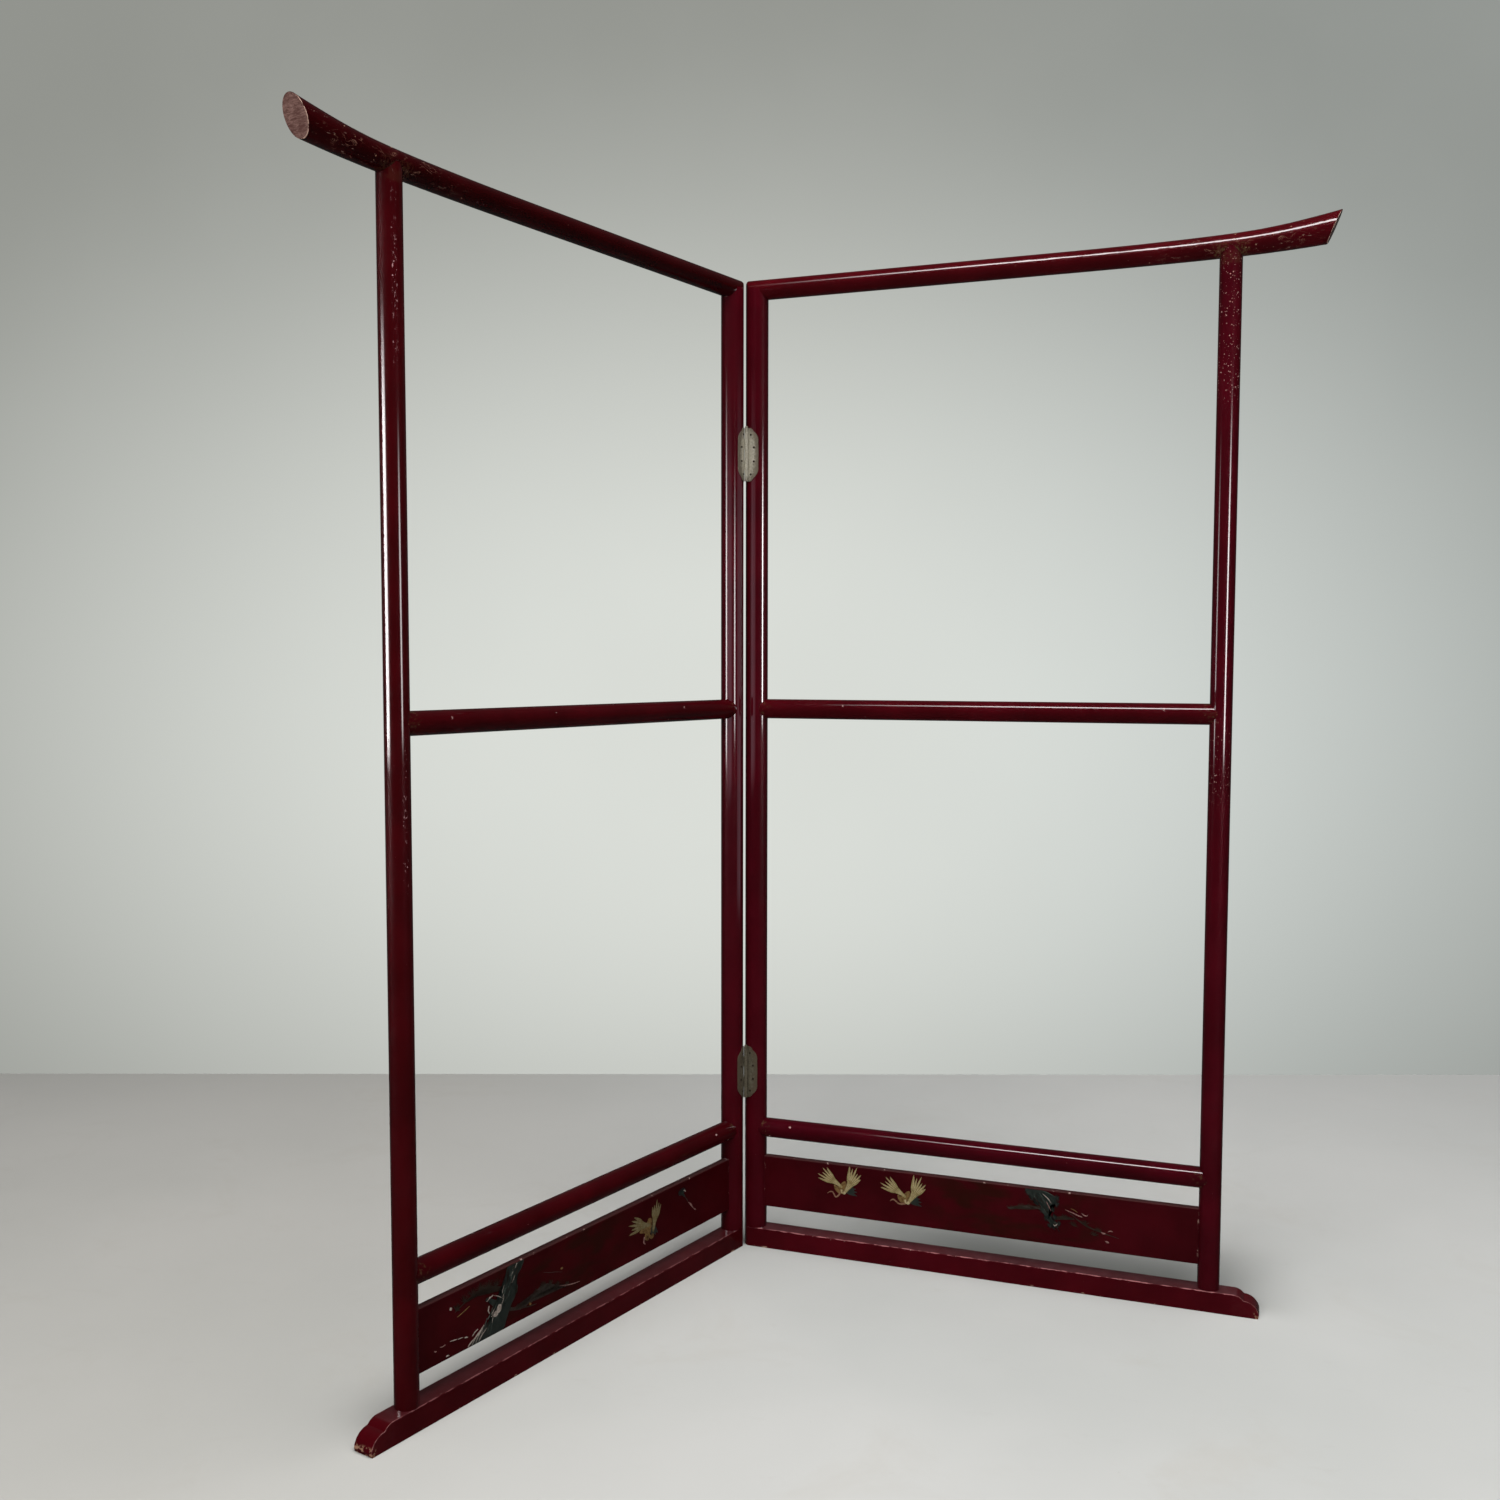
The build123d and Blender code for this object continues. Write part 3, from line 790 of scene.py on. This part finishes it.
def landing_crane(name, u, z, size):
    """A generic crane coming down: one wing spread level, one held up."""
    relief = Relief(name, "left", u, z, size)
    for i, angle in enumerate((232, 248, 264, 282)):
        feather(relief, (-0.06, 0.0), angle, 0.40 - 0.03 * i, 0.14, PINE, 0.12, -0.04)
    relief.blob(
        [
            (-0.02, 0.20), (0.14, 0.22), (0.20, 0.04), (0.44, 0.02), (0.52, -0.06), (0.28, -0.14),
            (0.14, -0.26), (0.0, -0.12),
        ],
        BRONZE, 0.16,
    )
    tones = (OLIVE_GOLD, OCHRE, BRONZE)
    wing(
        relief, (0.06, 0.04), 16, 1.02, 0.32, (0.52, 0.42, 0.58, 0.48, 0.40), 17, tones, 0.22,
        -0.02,
    )
    wing(
        relief, (-0.10, -0.18), 104, 0.92, 0.30, (0.34, 0.40, 0.56, 0.46, 0.42), 15, tones, 0.22,
        -0.04,
    )
    relief.stroke(
        [(0.22, -0.14, 0.08), (0.26, -0.28, 0.06), (0.16, -0.36, 0.05), (0.10, -0.28, 0.05)],
        BRONZE, 0.30,
    )
    relief.stroke(
        [(0.10, -0.24, 0.05), (0.0, -0.36, 0.06), (-0.10, -0.33, 0.05), (-0.06, -0.24, 0.03)],
        BRONZE, 0.30,
    )
    relief.stroke([(0.30, -0.24, 0.05), (0.34, -0.38, 0.04), (0.26, -0.46, 0.02)], ASH, 0.28)
    return relief.finish()


NEEDLES = 11


def needle_fan(relief, u, z, radius, rng, material, height, lean):
    """A tuft of pine needles, spread evenly about the direction it leans in."""
    for i in range(NEEDLES):
        angle = math.radians(lean - 75 + 150 * i / (NEEDLES - 1) + rng.uniform(-6, 6))
        reach = radius * rng.uniform(0.75, 1.0)
        relief.stroke(
            [
                (u, z, 0.9),
                (u + 0.6 * reach * math.cos(angle), z + 0.6 * reach * math.sin(angle), 0.7),
                (u + reach * math.cos(angle), z + reach * math.sin(angle), 0.2),
            ],
            material,
            height,
            steps=2,
        )


def left_pine(name):
    """An old pine: a leaning trunk the height of the board, its boughs and grass at its foot."""
    rng = random.Random(7)
    relief = Relief(name, "left")
    # Far boughs
    relief.stroke(
        [
            (588, 98, 5), (562, 90, 4), (545, 92, 3), (530, 101, 4), (514, 106, 4), (497, 102, 3),
            (478, 93, 2.4), (455, 87, 1.6), (436, 84, 0.8),
        ],
        BARK_FAINT, 0.14,
    )
    relief.stroke([(560, 90, 2.4), (544, 86, 2), (528, 84, 1)], PINE_FAINT, 0.14)
    relief.stroke(
        [(512, 126, 0.4), (498, 121, 0.9), (484, 117, 0.8), (470, 112, 0.3)], BARK_FAINT, 0.14,
    )
    relief.stroke(
        [(598, 132, 5), (622, 142, 4), (646, 146, 3), (672, 140, 2.4), (694, 132, 1.0)],
        PINE_FAINT, 0.14,
    )
    for u, z, r, lean in (
        (612, 141, 12, 95), (628, 145, 13, 100), (644, 147, 12, 100), (660, 144, 13, 105),
        (676, 140, 12, 115), (692, 134, 11, 130), (530, 100, 8, 90), (514, 105, 9, 80),
        (498, 102, 9, 75), (482, 95, 8, 75), (460, 88, 7, 70), (566, 92, 8, 95),
    ):
        needle_fan(relief, u, z, r, rng, PINE_FAINT, 0.17, lean)
    relief.stroke([(478, 93, 0.3), (462, 89, 0.8), (446, 85.5, 1.1), (430, 84, 0.3)], ASH, 0.24)
    # Trunk, with a flared foot
    trunk = (
        (556, 162), (586, 162), (594, 146), (602, 128), (606, 114), (622, 100), (640, 88),
        (664, 72), (604, 72), (592, 86), (584, 100), (574, 112), (568, 124), (572, 138),
        (560, 150),
    )
    relief.blob(trunk, PINE, 0.26, 5)
    relief.stroke([(606, 110, 12), (620, 120, 8), (630, 128, 4), (634, 126, 1)], PINE, 0.24)
    # Bark: ridges in ink and lichen strokes
    for i in range(54):
        t = (i + rng.uniform(-0.4, 0.4)) / 53
        u = 636 - 66 * t + rng.uniform(-15, 15) * (1.25 - 0.75 * t)
        z = 74 + 80 * t
        slope = rng.uniform(-2.5, 1.5)
        size = rng.uniform(0.5, 1.0)
        tone = (INK, BARK, INK, PINE_FAINT, BARK, SHELL)[i % 6]
        width = 0.7 if tone is SHELL else 1.5
        relief.stroke(
            [
                (u, z, 0.4), (u - 3 * size + slope, z + 6 * size, width),
                (u - 6 * size + slope, z + 12 * size, 0.3),
            ],
            tone, 0.36, 3,
        )
    # Pale broken arcs, a leaf, and the edge of the trunk
    for points in (
        ((602, 120, 0.3), (609, 125, 1.0), (616, 128, 0.4)),
        ((619, 130, 0.4), (627, 128, 1.3), (632, 125, 0.4)),
        ((627, 106, 0.4), (629, 111, 1.3), (627, 117, 0.4)),
        ((623, 103, 0.3), (619, 107, 0.8), (616, 110, 0.3)),
        ((586, 158, 0.3), (590, 150, 1.0), (588, 142, 0.9), (594, 136, 0.3)),
        ((573, 128, 0.3), (569, 120, 1.0), (574, 113, 0.3)),
    ):
        relief.stroke(points, SHELL if points[0][0] > 600 else PINE_FAINT, 0.36, 4)
    relief.blob([(603, 110), (608, 112), (612, 107), (609, 100), (604, 103)], SHELL, 0.40)
    relief.blob([(611, 104), (616, 105), (619, 99), (614, 97), (610, 99)], SHELL, 0.40)
    # Grass at the foot and a broken line of earth in pale strokes
    for du, top, width in ((0, 15, 1.3), (-7, 20, 1.3), (8, 9, 1.0), (-13, 14, 1.1)):
        relief.stroke(
            [
                (662 + du, 73.5, 0.5), (656 + du, 73.5 + 0.5 * top, width),
                (645 + du, 73.5 + top, 0.3),
            ],
            SHELL, 0.34, 4,
        )
    for points in (
        ((650, 92, 0.3), (656, 90, 0.8), (661, 86, 0.3)),
        ((670, 88, 0.6), (673, 89, 1.9), (676, 89, 0.5)),
        ((679, 91, 0.3), (684, 92, 0.7), (689, 92, 0.3)),
        ((691, 93, 0.3), (698, 94, 1.1), (704, 95, 0.3)),
        ((713, 94, 0.2), (718, 93, 0.8), (723, 94, 0.2)),
        ((730, 91, 0.5), (732, 91, 1.2), (734, 92, 0.4)),
        ((706, 76, 0.3), (709, 77, 0.9), (712, 76, 0.3)),
    ):
        relief.stroke(points, ASH if points[0][0] > 708 else SHELL, 0.34, 4)
    relief.stroke([(666, 131, 0.3), (678, 127, 1.2), (690, 124, 0.3)], BRONZE, 0.30, 4)
    relief.blob([(700, 141), (703, 142), (704, 139), (701, 138)], SHELL, 0.34)
    relief.blob([(540, 90), (543, 91), (544, 88), (541, 87)], BRONZE, 0.30)
    relief.blob([(469, 119), (472, 120), (474, 118), (471, 117)], BRONZE, 0.30)
    return relief.finish()


def right_pine(name):
    """A pine bough that hangs in from the top of the board, with two far sprigs."""
    rng = random.Random(11)
    relief = Relief(name, "right")
    relief.stroke([(512, 131, 4), (494, 129, 7), (476, 127, 6), (460, 124, 2)], PINE_FAINT, 0.14)
    relief.stroke([(536, 116, 5), (552, 119, 6), (568, 119, 3)], PINE_FAINT, 0.14)
    relief.stroke([(560, 128, 1), (584, 112, 3), (606, 104, 2), (640, 96, 1)], PINE_FAINT, 0.13)
    for u, z, r, lean in (
        (464, 122, 9, 90), (482, 127, 9, 95), (494, 129, 8, 85), (552, 119, 8, 80),
        (566, 108, 9, 70), (584, 112, 9, 80), (606, 104, 8, 75), (600, 96, 8, 80),
    ):
        needle_fan(relief, u, z, r, rng, PINE_FAINT, 0.16, lean)
    bough = (
        (488, 161), (500, 161), (520, 160), (536, 152), (538, 142), (529, 137), (527, 126),
        (533, 114), (541, 108), (538, 101), (531, 103), (524, 114), (516, 126), (510, 140),
        (500, 148), (490, 153),
    )
    relief.blob(bough, PINE, 0.26, 5)
    for u, z, r, lean in (
        (494, 156, 8, 200), (500, 148, 8, 215), (508, 140, 8, 220), (516, 128, 7, 215),
        (524, 116, 7, 215), (530, 105, 7, 250), (538, 150, 7, 20), (537, 141, 7, -10),
        (531, 130, 6, 10), (534, 118, 7, 20), (541, 108, 6, 10),
    ):
        needle_fan(relief, u, z, r, rng, PINE, 0.22, lean)
    for i in range(26):
        t = rng.random()
        u = 500 + 36 * t + rng.uniform(-9, 12) * (1 - 0.6 * t)
        z = 156 - 52 * t + rng.uniform(-3, 3)
        tone = (INK, BARK, INK, PINE_FAINT)[i % 4]
        relief.stroke([(u, z, 0.3), (u + 2.5, z - 4, 1.1), (u + 6, z - 9, 0.3)], tone, 0.34, 3)
    for points, tone in (
        (((499, 132, 0.4), (506, 130, 1.7), (514, 129, 0.4)), BARK_FAINT),
        (((516, 160, 0.4), (526, 157, 1.4), (537, 152, 0.4)), BARK),
        (((516, 155, 0.3), (524, 149, 1.2), (530, 141, 0.4)), SHELL),
        (((522, 143, 0.3), (526, 136, 1.2), (530, 128, 0.3)), ASH),
        (((553, 133, 0.3), (563, 130, 0.9), (574, 126, 1.6), (581, 124, 0.4)), ASH),
        (((579, 131, 0.3), (583, 128, 1.3), (588, 127, 1.0), (590, 130, 0.3)), ASH),
        (((562, 136, 0.3), (568, 134, 0.9), (573, 131, 0.3)), BRONZE),
        (((611, 103, 0.5), (615, 101.5, 2.4), (618, 102, 0.5)), ASH),
        (((618, 89, 0.6), (621, 88, 3.0), (624, 87, 0.6)), ASH),
        (((622, 105, 0.3), (626, 107, 1.3), (630, 106, 0.3)), ASH),
        (((534, 106, 0.3), (537, 104, 1.6), (541, 108, 0.4)), SHELL),
        (((459, 125, 0.6), (464, 124, 3.4), (469, 126, 0.8)), BARK_FAINT),
        (((484, 129, 0.6), (490, 130, 4.2), (497, 128, 0.6)), BARK_FAINT),
    ):
        relief.stroke(points, tone, 0.36, 4)
    return relief.finish()


def sprig(name):
    """A small dark sprig near the hinge with a pale broken stem."""
    relief = Relief(name, "left")
    relief.blob(
        [(178, 146), (172, 150), (164, 151), (158, 147), (162, 141), (170, 139), (176, 141)], INK,
        0.18,
    )
    relief.stroke([(170, 145, 5), (164, 139, 5), (158, 133, 1.5)], PINE, 0.22)
    relief.stroke([(164, 146, 0.6), (160, 145, 2.2), (157, 142, 0.6)], SHELL, 0.28)
    relief.stroke([(160, 135, 0.5), (154, 128, 1.6), (150, 122, 0.4)], BARK_FAINT, 0.24)
    relief.stroke([(150, 122, 0.6), (144, 117, 3.0), (139, 111, 2.0), (135, 107, 0.6)], ASH, 0.30)
    relief.stroke([(135, 107, 0.5), (131, 104, 2.6), (128, 102, 0.5)], ASH, 0.30)
    return relief.finish()


CURLED_NECK = (
    (-0.06, -0.22, 0.06), (-0.14, -0.36, 0.055), (-0.24, -0.42, 0.05), (-0.30, -0.34, 0.045),
    (-0.36, -0.25, 0.045), (-0.46, -0.25, 0.04), (-0.56, -0.32, 0.015),
)
LONG_NECK = (
    (-0.02, -0.26, 0.07), (-0.16, -0.30, 0.06), (-0.28, -0.28, 0.05), (-0.38, -0.20, 0.045),
    (-0.48, -0.17, 0.045), (-0.58, -0.25, 0.012),
)

reliefs = [
    flying_crane("right_crane_near_hinge", 172, 124, 47, CURLED_NECK),
    flying_crane("right_crane_middle", 285, 121, 48, LONG_NECK),
    right_pine("right_pine_bough"),
    landing_crane("left_crane", 252, 114, 57),
    left_pine("left_pine"),
    sprig("left_sprig"),
]


# ---- floor and wall

CAMERA_AT = Vector((0.54626, -1.97810, 1.03115))
CAMERA_RIGHT = Vector((0.9376033, 0.3477059, 0.0008470))
CAMERA_UP = Vector((-0.0241974, 0.06281886, 0.99773157))
CAMERA_AHEAD = Vector((-0.34686394, 0.93549687, -0.06731275))
LEVEL_AHEAD = Vector((CAMERA_AHEAD.x, CAMERA_AHEAD.y, 0)).normalized()
LEVEL_RIGHT = Vector((CAMERA_RIGHT.x, CAMERA_RIGHT.y, 0)).normalized()
FLOOR_HALF = 6.0
FLOOR_DROP = 0.0002
WALL_DISTANCE = 3.66  # from the camera
WALL_HALF = 4.0
WALL_HEIGHT = 3.4


def make_plane(name, corners, material):
    data = bpy.data.meshes.new(name)
    data.from_pydata([tuple(c) for c in corners], [], [(0, 1, 2, 3)])
    data.materials.append(material)
    made = new_object(name, data)
    return made


def upright(name, centre, half, low, high, material):
    """An upright panel: half is the vector from its middle to its side."""
    down, up = Vector((0, 0, low)), Vector((0, 0, high))
    corners = [centre - half + down, centre + half + down, centre + half + up, centre - half + up]
    return make_plane(name, corners, material)


def floor_material():
    """Pale painted floor with stains, scuffs and grit, with painted light and shade across it and
    a painted shadow behind the standing leaf, fading out far from the object.
    """
    p = Paint("pale_floor")
    at = p.place()
    x, y, _ = p.parts(at)
    large = p.noise(at, 0.9, 4.0, 0.55)
    stain = p.smooth(p.noise(at, 3.2, 5.0, 0.62, 0.6), 0.52, 0.74)
    colour = p.mix(p.smooth(large, 0.3, 0.7), (0.500, 0.508, 0.488), (0.575, 0.573, 0.553))
    colour = p.mix(p.mul(stain, 0.26), colour, (0.46, 0.43, 0.38))
    scuffs = p.noise(p.scaled(at, 1.0, 2.4, 1.0), 9.0, 5.0, 0.7, 0.5)
    colour = p.mix(p.smooth(scuffs, 0.60, 0.74, 0.0, 0.14), colour, (0.40, 0.38, 0.35))
    # Painted light and shade that change slowly along and across the room: darker towards the
    # camera and on the left, where it is warmer too, and lighter towards the wall and on the right
    ahead, aside = p.dot(at, LEVEL_AHEAD), p.dot(at, LEVEL_RIGHT)
    for place, low, high, strength, tint in (
        (ahead, 0.2, -1.6, 0.30, (0.36, 0.36, 0.345)),
        (ahead, 0.4, 1.8, 0.35, (0.70, 0.70, 0.68)),
        (aside, 0.1, -1.1, 0.42, (0.44, 0.415, 0.37)),
        (aside, 0.2, 1.3, 0.30, (0.70, 0.70, 0.68)),
    ):
        colour = p.mix(p.smooth(place, low, high, 0.0, strength), colour, tint)
    # Painted shadow behind the standing leaf's board, deepest near its foot
    along, behind = p.sub(x, AXIS.x), p.sub(y, AXIS.y)
    shade = p.mul(p.smooth(along, -0.06, 0.42), p.smooth(along, 0.95, 0.70))
    shade = p.mul(shade, p.mul(p.smooth(behind, 0.0, 0.07), p.smooth(behind, 0.36, 0.12)))
    colour = p.mix(p.mul(shade, 0.85), colour, (0.105, 0.110, 0.102))
    grit = p.specks(at, 0.045, 0.0016, 0.35)
    colour = p.mix(p.mul(grit, 0.45), colour, (0.22, 0.21, 0.19))
    rough = p.blend(stain, 0.55, 0.7)
    normal = p.bump(p.noise(at, 60.0, 4.0, 0.6), 0.10, 0.0006)
    surface = p.principled({"Base Color": colour, "Roughness": rough, "Normal": normal})
    far = p.smooth(p.length(x, y), 3.2, FLOOR_HALF - 0.2)
    return p.done(p.cut(far, surface))


def wall_material():
    """A glowing wall with a painted pool of light, seen from the front only, so that it doesn't
    hide the object from behind.
    """
    p = Paint("pale_wall")
    at = p.place()
    across = p.dot(at, LEVEL_RIGHT)
    high = p.parts(at)[2]
    # A painted pool of light behind the object, darker away from it
    glow = p.length(p.mul(p.sub(across, -0.18), 0.38), p.mul(p.sub(high, 0.85), 0.62))
    colour = p.mix(p.smooth(glow, 0.15, 1.15), (0.710, 0.730, 0.708), (0.290, 0.296, 0.280))
    cool = p.smooth(across, -0.3, 1.6)
    colour = p.mix(1.0, colour, p.mix(cool, (0.995, 1.0, 0.972), (0.965, 1.0, 0.995)), "MULTIPLY")
    cloud = p.noise(at, 1.1, 4.0, 0.5)
    colour = p.mix(p.smooth(cloud, 0.35, 0.75, 0.0, 0.10), colour, (0.52, 0.53, 0.50))
    behind = p.node("ShaderNodeNewGeometry").outputs["Backfacing"]
    side = p.math("ABSOLUTE", p.sub(across, 0.05))
    gone = p.any_of(behind, p.smooth(side, 2.4, 3.6))
    return p.done(p.cut(gone, p.node("ShaderNodeEmission", {0: colour})))


floor = make_plane(
    "floor",
    [(FLOOR_HALF * x, FLOOR_HALF * y, 0) for x, y in ((-1, -1), (1, -1), (1, 1), (-1, 1))],
    floor_material(),
)
floor.location.z = -FLOOR_DROP
floor.visible_glossy = False

foot_of_wall = Vector((CAMERA_AT.x, CAMERA_AT.y, 0)) + LEVEL_AHEAD * WALL_DISTANCE
wall = upright("wall", foot_of_wall, LEVEL_RIGHT * WALL_HALF, 0, WALL_HEIGHT, wall_material())
wall.visible_diffuse = False
wall.visible_glossy = False
wall.visible_shadow = False


# ---- light


def light_world(world):
    """Pale surroundings towards the wall and a dark room behind the camera."""
    world.use_nodes = True
    p = Paint(world.name, world.node_tree)
    ahead = p.dot(p.place("Generated"), LEVEL_AHEAD)
    spread = p.smooth(ahead, -0.1, 0.7, 0.006, 0.035)
    dim = p.node("ShaderNodeBackground", {0: (0.95, 1.0, 0.98), 1: spread})
    seen = p.node("ShaderNodeBackground", {0: (0.56, 0.575, 0.565)})
    camera_ray = p.node("ShaderNodeLightPath").outputs["Is Camera Ray"]
    inputs = {0: camera_ray, 1: dim.outputs[0], 2: seen.outputs[0]}
    either = p.node("ShaderNodeMixShader", inputs)
    p.node("ShaderNodeOutputWorld", {0: either.outputs[0]})


def soft_light(name, at, aim, width, height, watts):
    data = bpy.data.lights.new(name, "AREA")
    data.shape = "RECTANGLE"
    data.size, data.size_y = width, height
    data.energy = watts
    made = new_object(name, data)
    made.location = at
    made.rotation_euler = (Vector(aim) - Vector(at)).to_track_quat("-Z", "Y").to_euler()
    made.visible_camera = False
    made.visible_glossy = False
    return made


def light_only(light, pieces):
    """Limits a lamp or a glowing panel to some pieces."""
    lit = bpy.data.collections.new(f"{light.name}_receivers")
    for piece in pieces:
        lit.objects.link(piece)
    light.light_linking.receiver_collection = lit


def reflected_only(panel, parts):
    """Makes a glowing panel show only as a reflection in the parts named."""
    panel.visible_camera = False
    panel.visible_diffuse = False
    panel.visible_shadow = False
    light_only(panel, [nodes[part] for part in parts])


def glow_material(name, power, axis, steps, tint, across=None):
    """Clear panel whose light starts at one place on an axis, holds, and fades out.

    steps are the places where it starts, is full, begins to fade and ends. across is (centre,
    direction, half width) of a panel whose sides are soft too.
    """
    p = Paint(name)
    at = p.place()
    place = p.parts(at)[axis]
    low, full, fade, top = steps
    strength = p.mul(p.smooth(place, low, full), p.smooth(place, top, fade))
    if across is not None:
        centre, direction, half = across
        off = p.math("ABSOLUTE", p.sub(p.dot(at, direction), centre.dot(direction)))
        strength = p.mul(strength, p.smooth(off, half, 0.35 * half))
    lit = p.node("ShaderNodeEmission", {0: tint, 1: p.mul(strength, power)})
    clear = p.node("ShaderNodeBsdfTransparent")
    return p.done(p.node("ShaderNodeAddShader", {0: lit.outputs[0], 1: clear.outputs[0]}))


WINDOW_REACH = 2.6  # how far a window stands from its part
WINDOW_SOFTNESS = 1.3  # extra width that its soft sides take
WINDOW_RISE = 0.16


def window(name, part, bearing, spread, power, low, fade, top, tint):
    """A tall panel reflected in one part.

    It stands at a bearing from the part, in degrees from -Y towards +X, and spans an angle of
    spread degrees as the part sees it.
    """
    corner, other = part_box(part)
    centre = (corner + other) / 2
    way = math.radians(bearing)
    ahead = Vector((math.sin(way), -math.cos(way), 0))
    across = Vector((ahead.y, -ahead.x, 0))
    half = WINDOW_REACH * math.tan(math.radians(spread / 2)) * WINDOW_SOFTNESS
    at = Vector((centre.x, centre.y, 0)) + ahead * WINDOW_REACH
    steps = (low, low + WINDOW_RISE, fade, top)
    glow = glow_material(name, power, 2, steps, tint, (at, across, half))
    reflected_only(upright(name, at, across * half, low, top, glow), [part])


scene = bpy.context.scene
scene.view_settings.view_transform = "Standard"
scene.world = bpy.data.worlds.new("studio")
light_world(scene.world)

soft_light("ceiling", (0.7, -0.5, 4.4), (0.25, 0.1, 0.0), 3.4, 2.8, 215)
soft_light("front_fill", (-0.9, -3.9, 2.3), (0.0, 0.3, 0.6), 2.4, 1.6, 118)
soft_light("side_fill", (2.6, -2.6, 1.7), (-0.3, 0.0, 0.8), 2.4, 2.0, 22)
back_fill = soft_light("back_fill", (-0.2, 3.6, 2.0), (0.0, 0.3, 0.8), 3.2, 2.2, 60)
light_only(back_fill, list(nodes.values()) + reliefs)

WHITE = (1.0, 0.97, 0.98)
LILAC = (1.0, 0.66, 0.80)

# A strip light high in front, which draws the line along the right leaf's rails
strip_glow = glow_material("strip", 20, 0, (-1.1, -0.2, 1.2, 1.5), WHITE)
strip_corners = [(-1.1, -1.26, 2.98), (1.5, -1.26, 2.98), (1.5, -0.84, 3.22), (-1.1, -0.84, 3.22)]
reflected_only(
    make_plane("strip", strip_corners, strip_glow),
    ["right_top_rail", "right_middle_rail", "right_lower_rail"],
)

# Windows: the part, bearing, spread, power, heights of foot, start of fade and top, tint
for name, *facts in (
    ("window_a", "left_outer_post", -47, 34, 26, 0.68, 1.60, 2.15, WHITE),
    ("window_b", "left_outer_post", 84, 14, 13, 0.72, 1.35, 1.80, WHITE),
    ("window_c", "left_hinge_post", -41, 12, 20, 0.62, 1.25, 2.05, WHITE),
    ("window_d", "left_hinge_post", 47, 12, 18, 0.72, 1.20, 1.75, WHITE),
    ("window_e", "left_hinge_post", -10, 60, 1.3, 0.50, 1.20, 2.05, LILAC),
    ("window_j", "left_hinge_post", 96, 40, 0.9, 0.10, 1.30, 2.20, LILAC),
    ("window_f", "right_hinge_post", 80, 11, 44, 0.76, 1.40, 1.86, WHITE),
    ("window_g", "right_hinge_post", -25, 60, 1.2, 0.55, 1.30, 2.10, LILAC),
    ("window_h", "right_outer_post", 38, 13, 26, 0.66, 1.35, 1.95, WHITE),
    ("window_i", "right_outer_post", -60, 10, 9, 0.66, 1.20, 1.80, WHITE),
):
    window(name, *facts)


# ---- camera

camera_data = bpy.data.cameras.new("camera")
camera_data.lens = 35.709
camera_data.sensor_width = 36.0
camera_data.shift_x = 0.00664
camera_data.shift_y = 0.00759
camera_data.clip_end = 50
camera = new_object("camera", camera_data)
turn = Matrix((CAMERA_RIGHT, CAMERA_UP, -CAMERA_AHEAD)).transposed().to_4x4()
camera.matrix_world = Matrix.Translation(CAMERA_AT) @ turn
scene.camera = camera
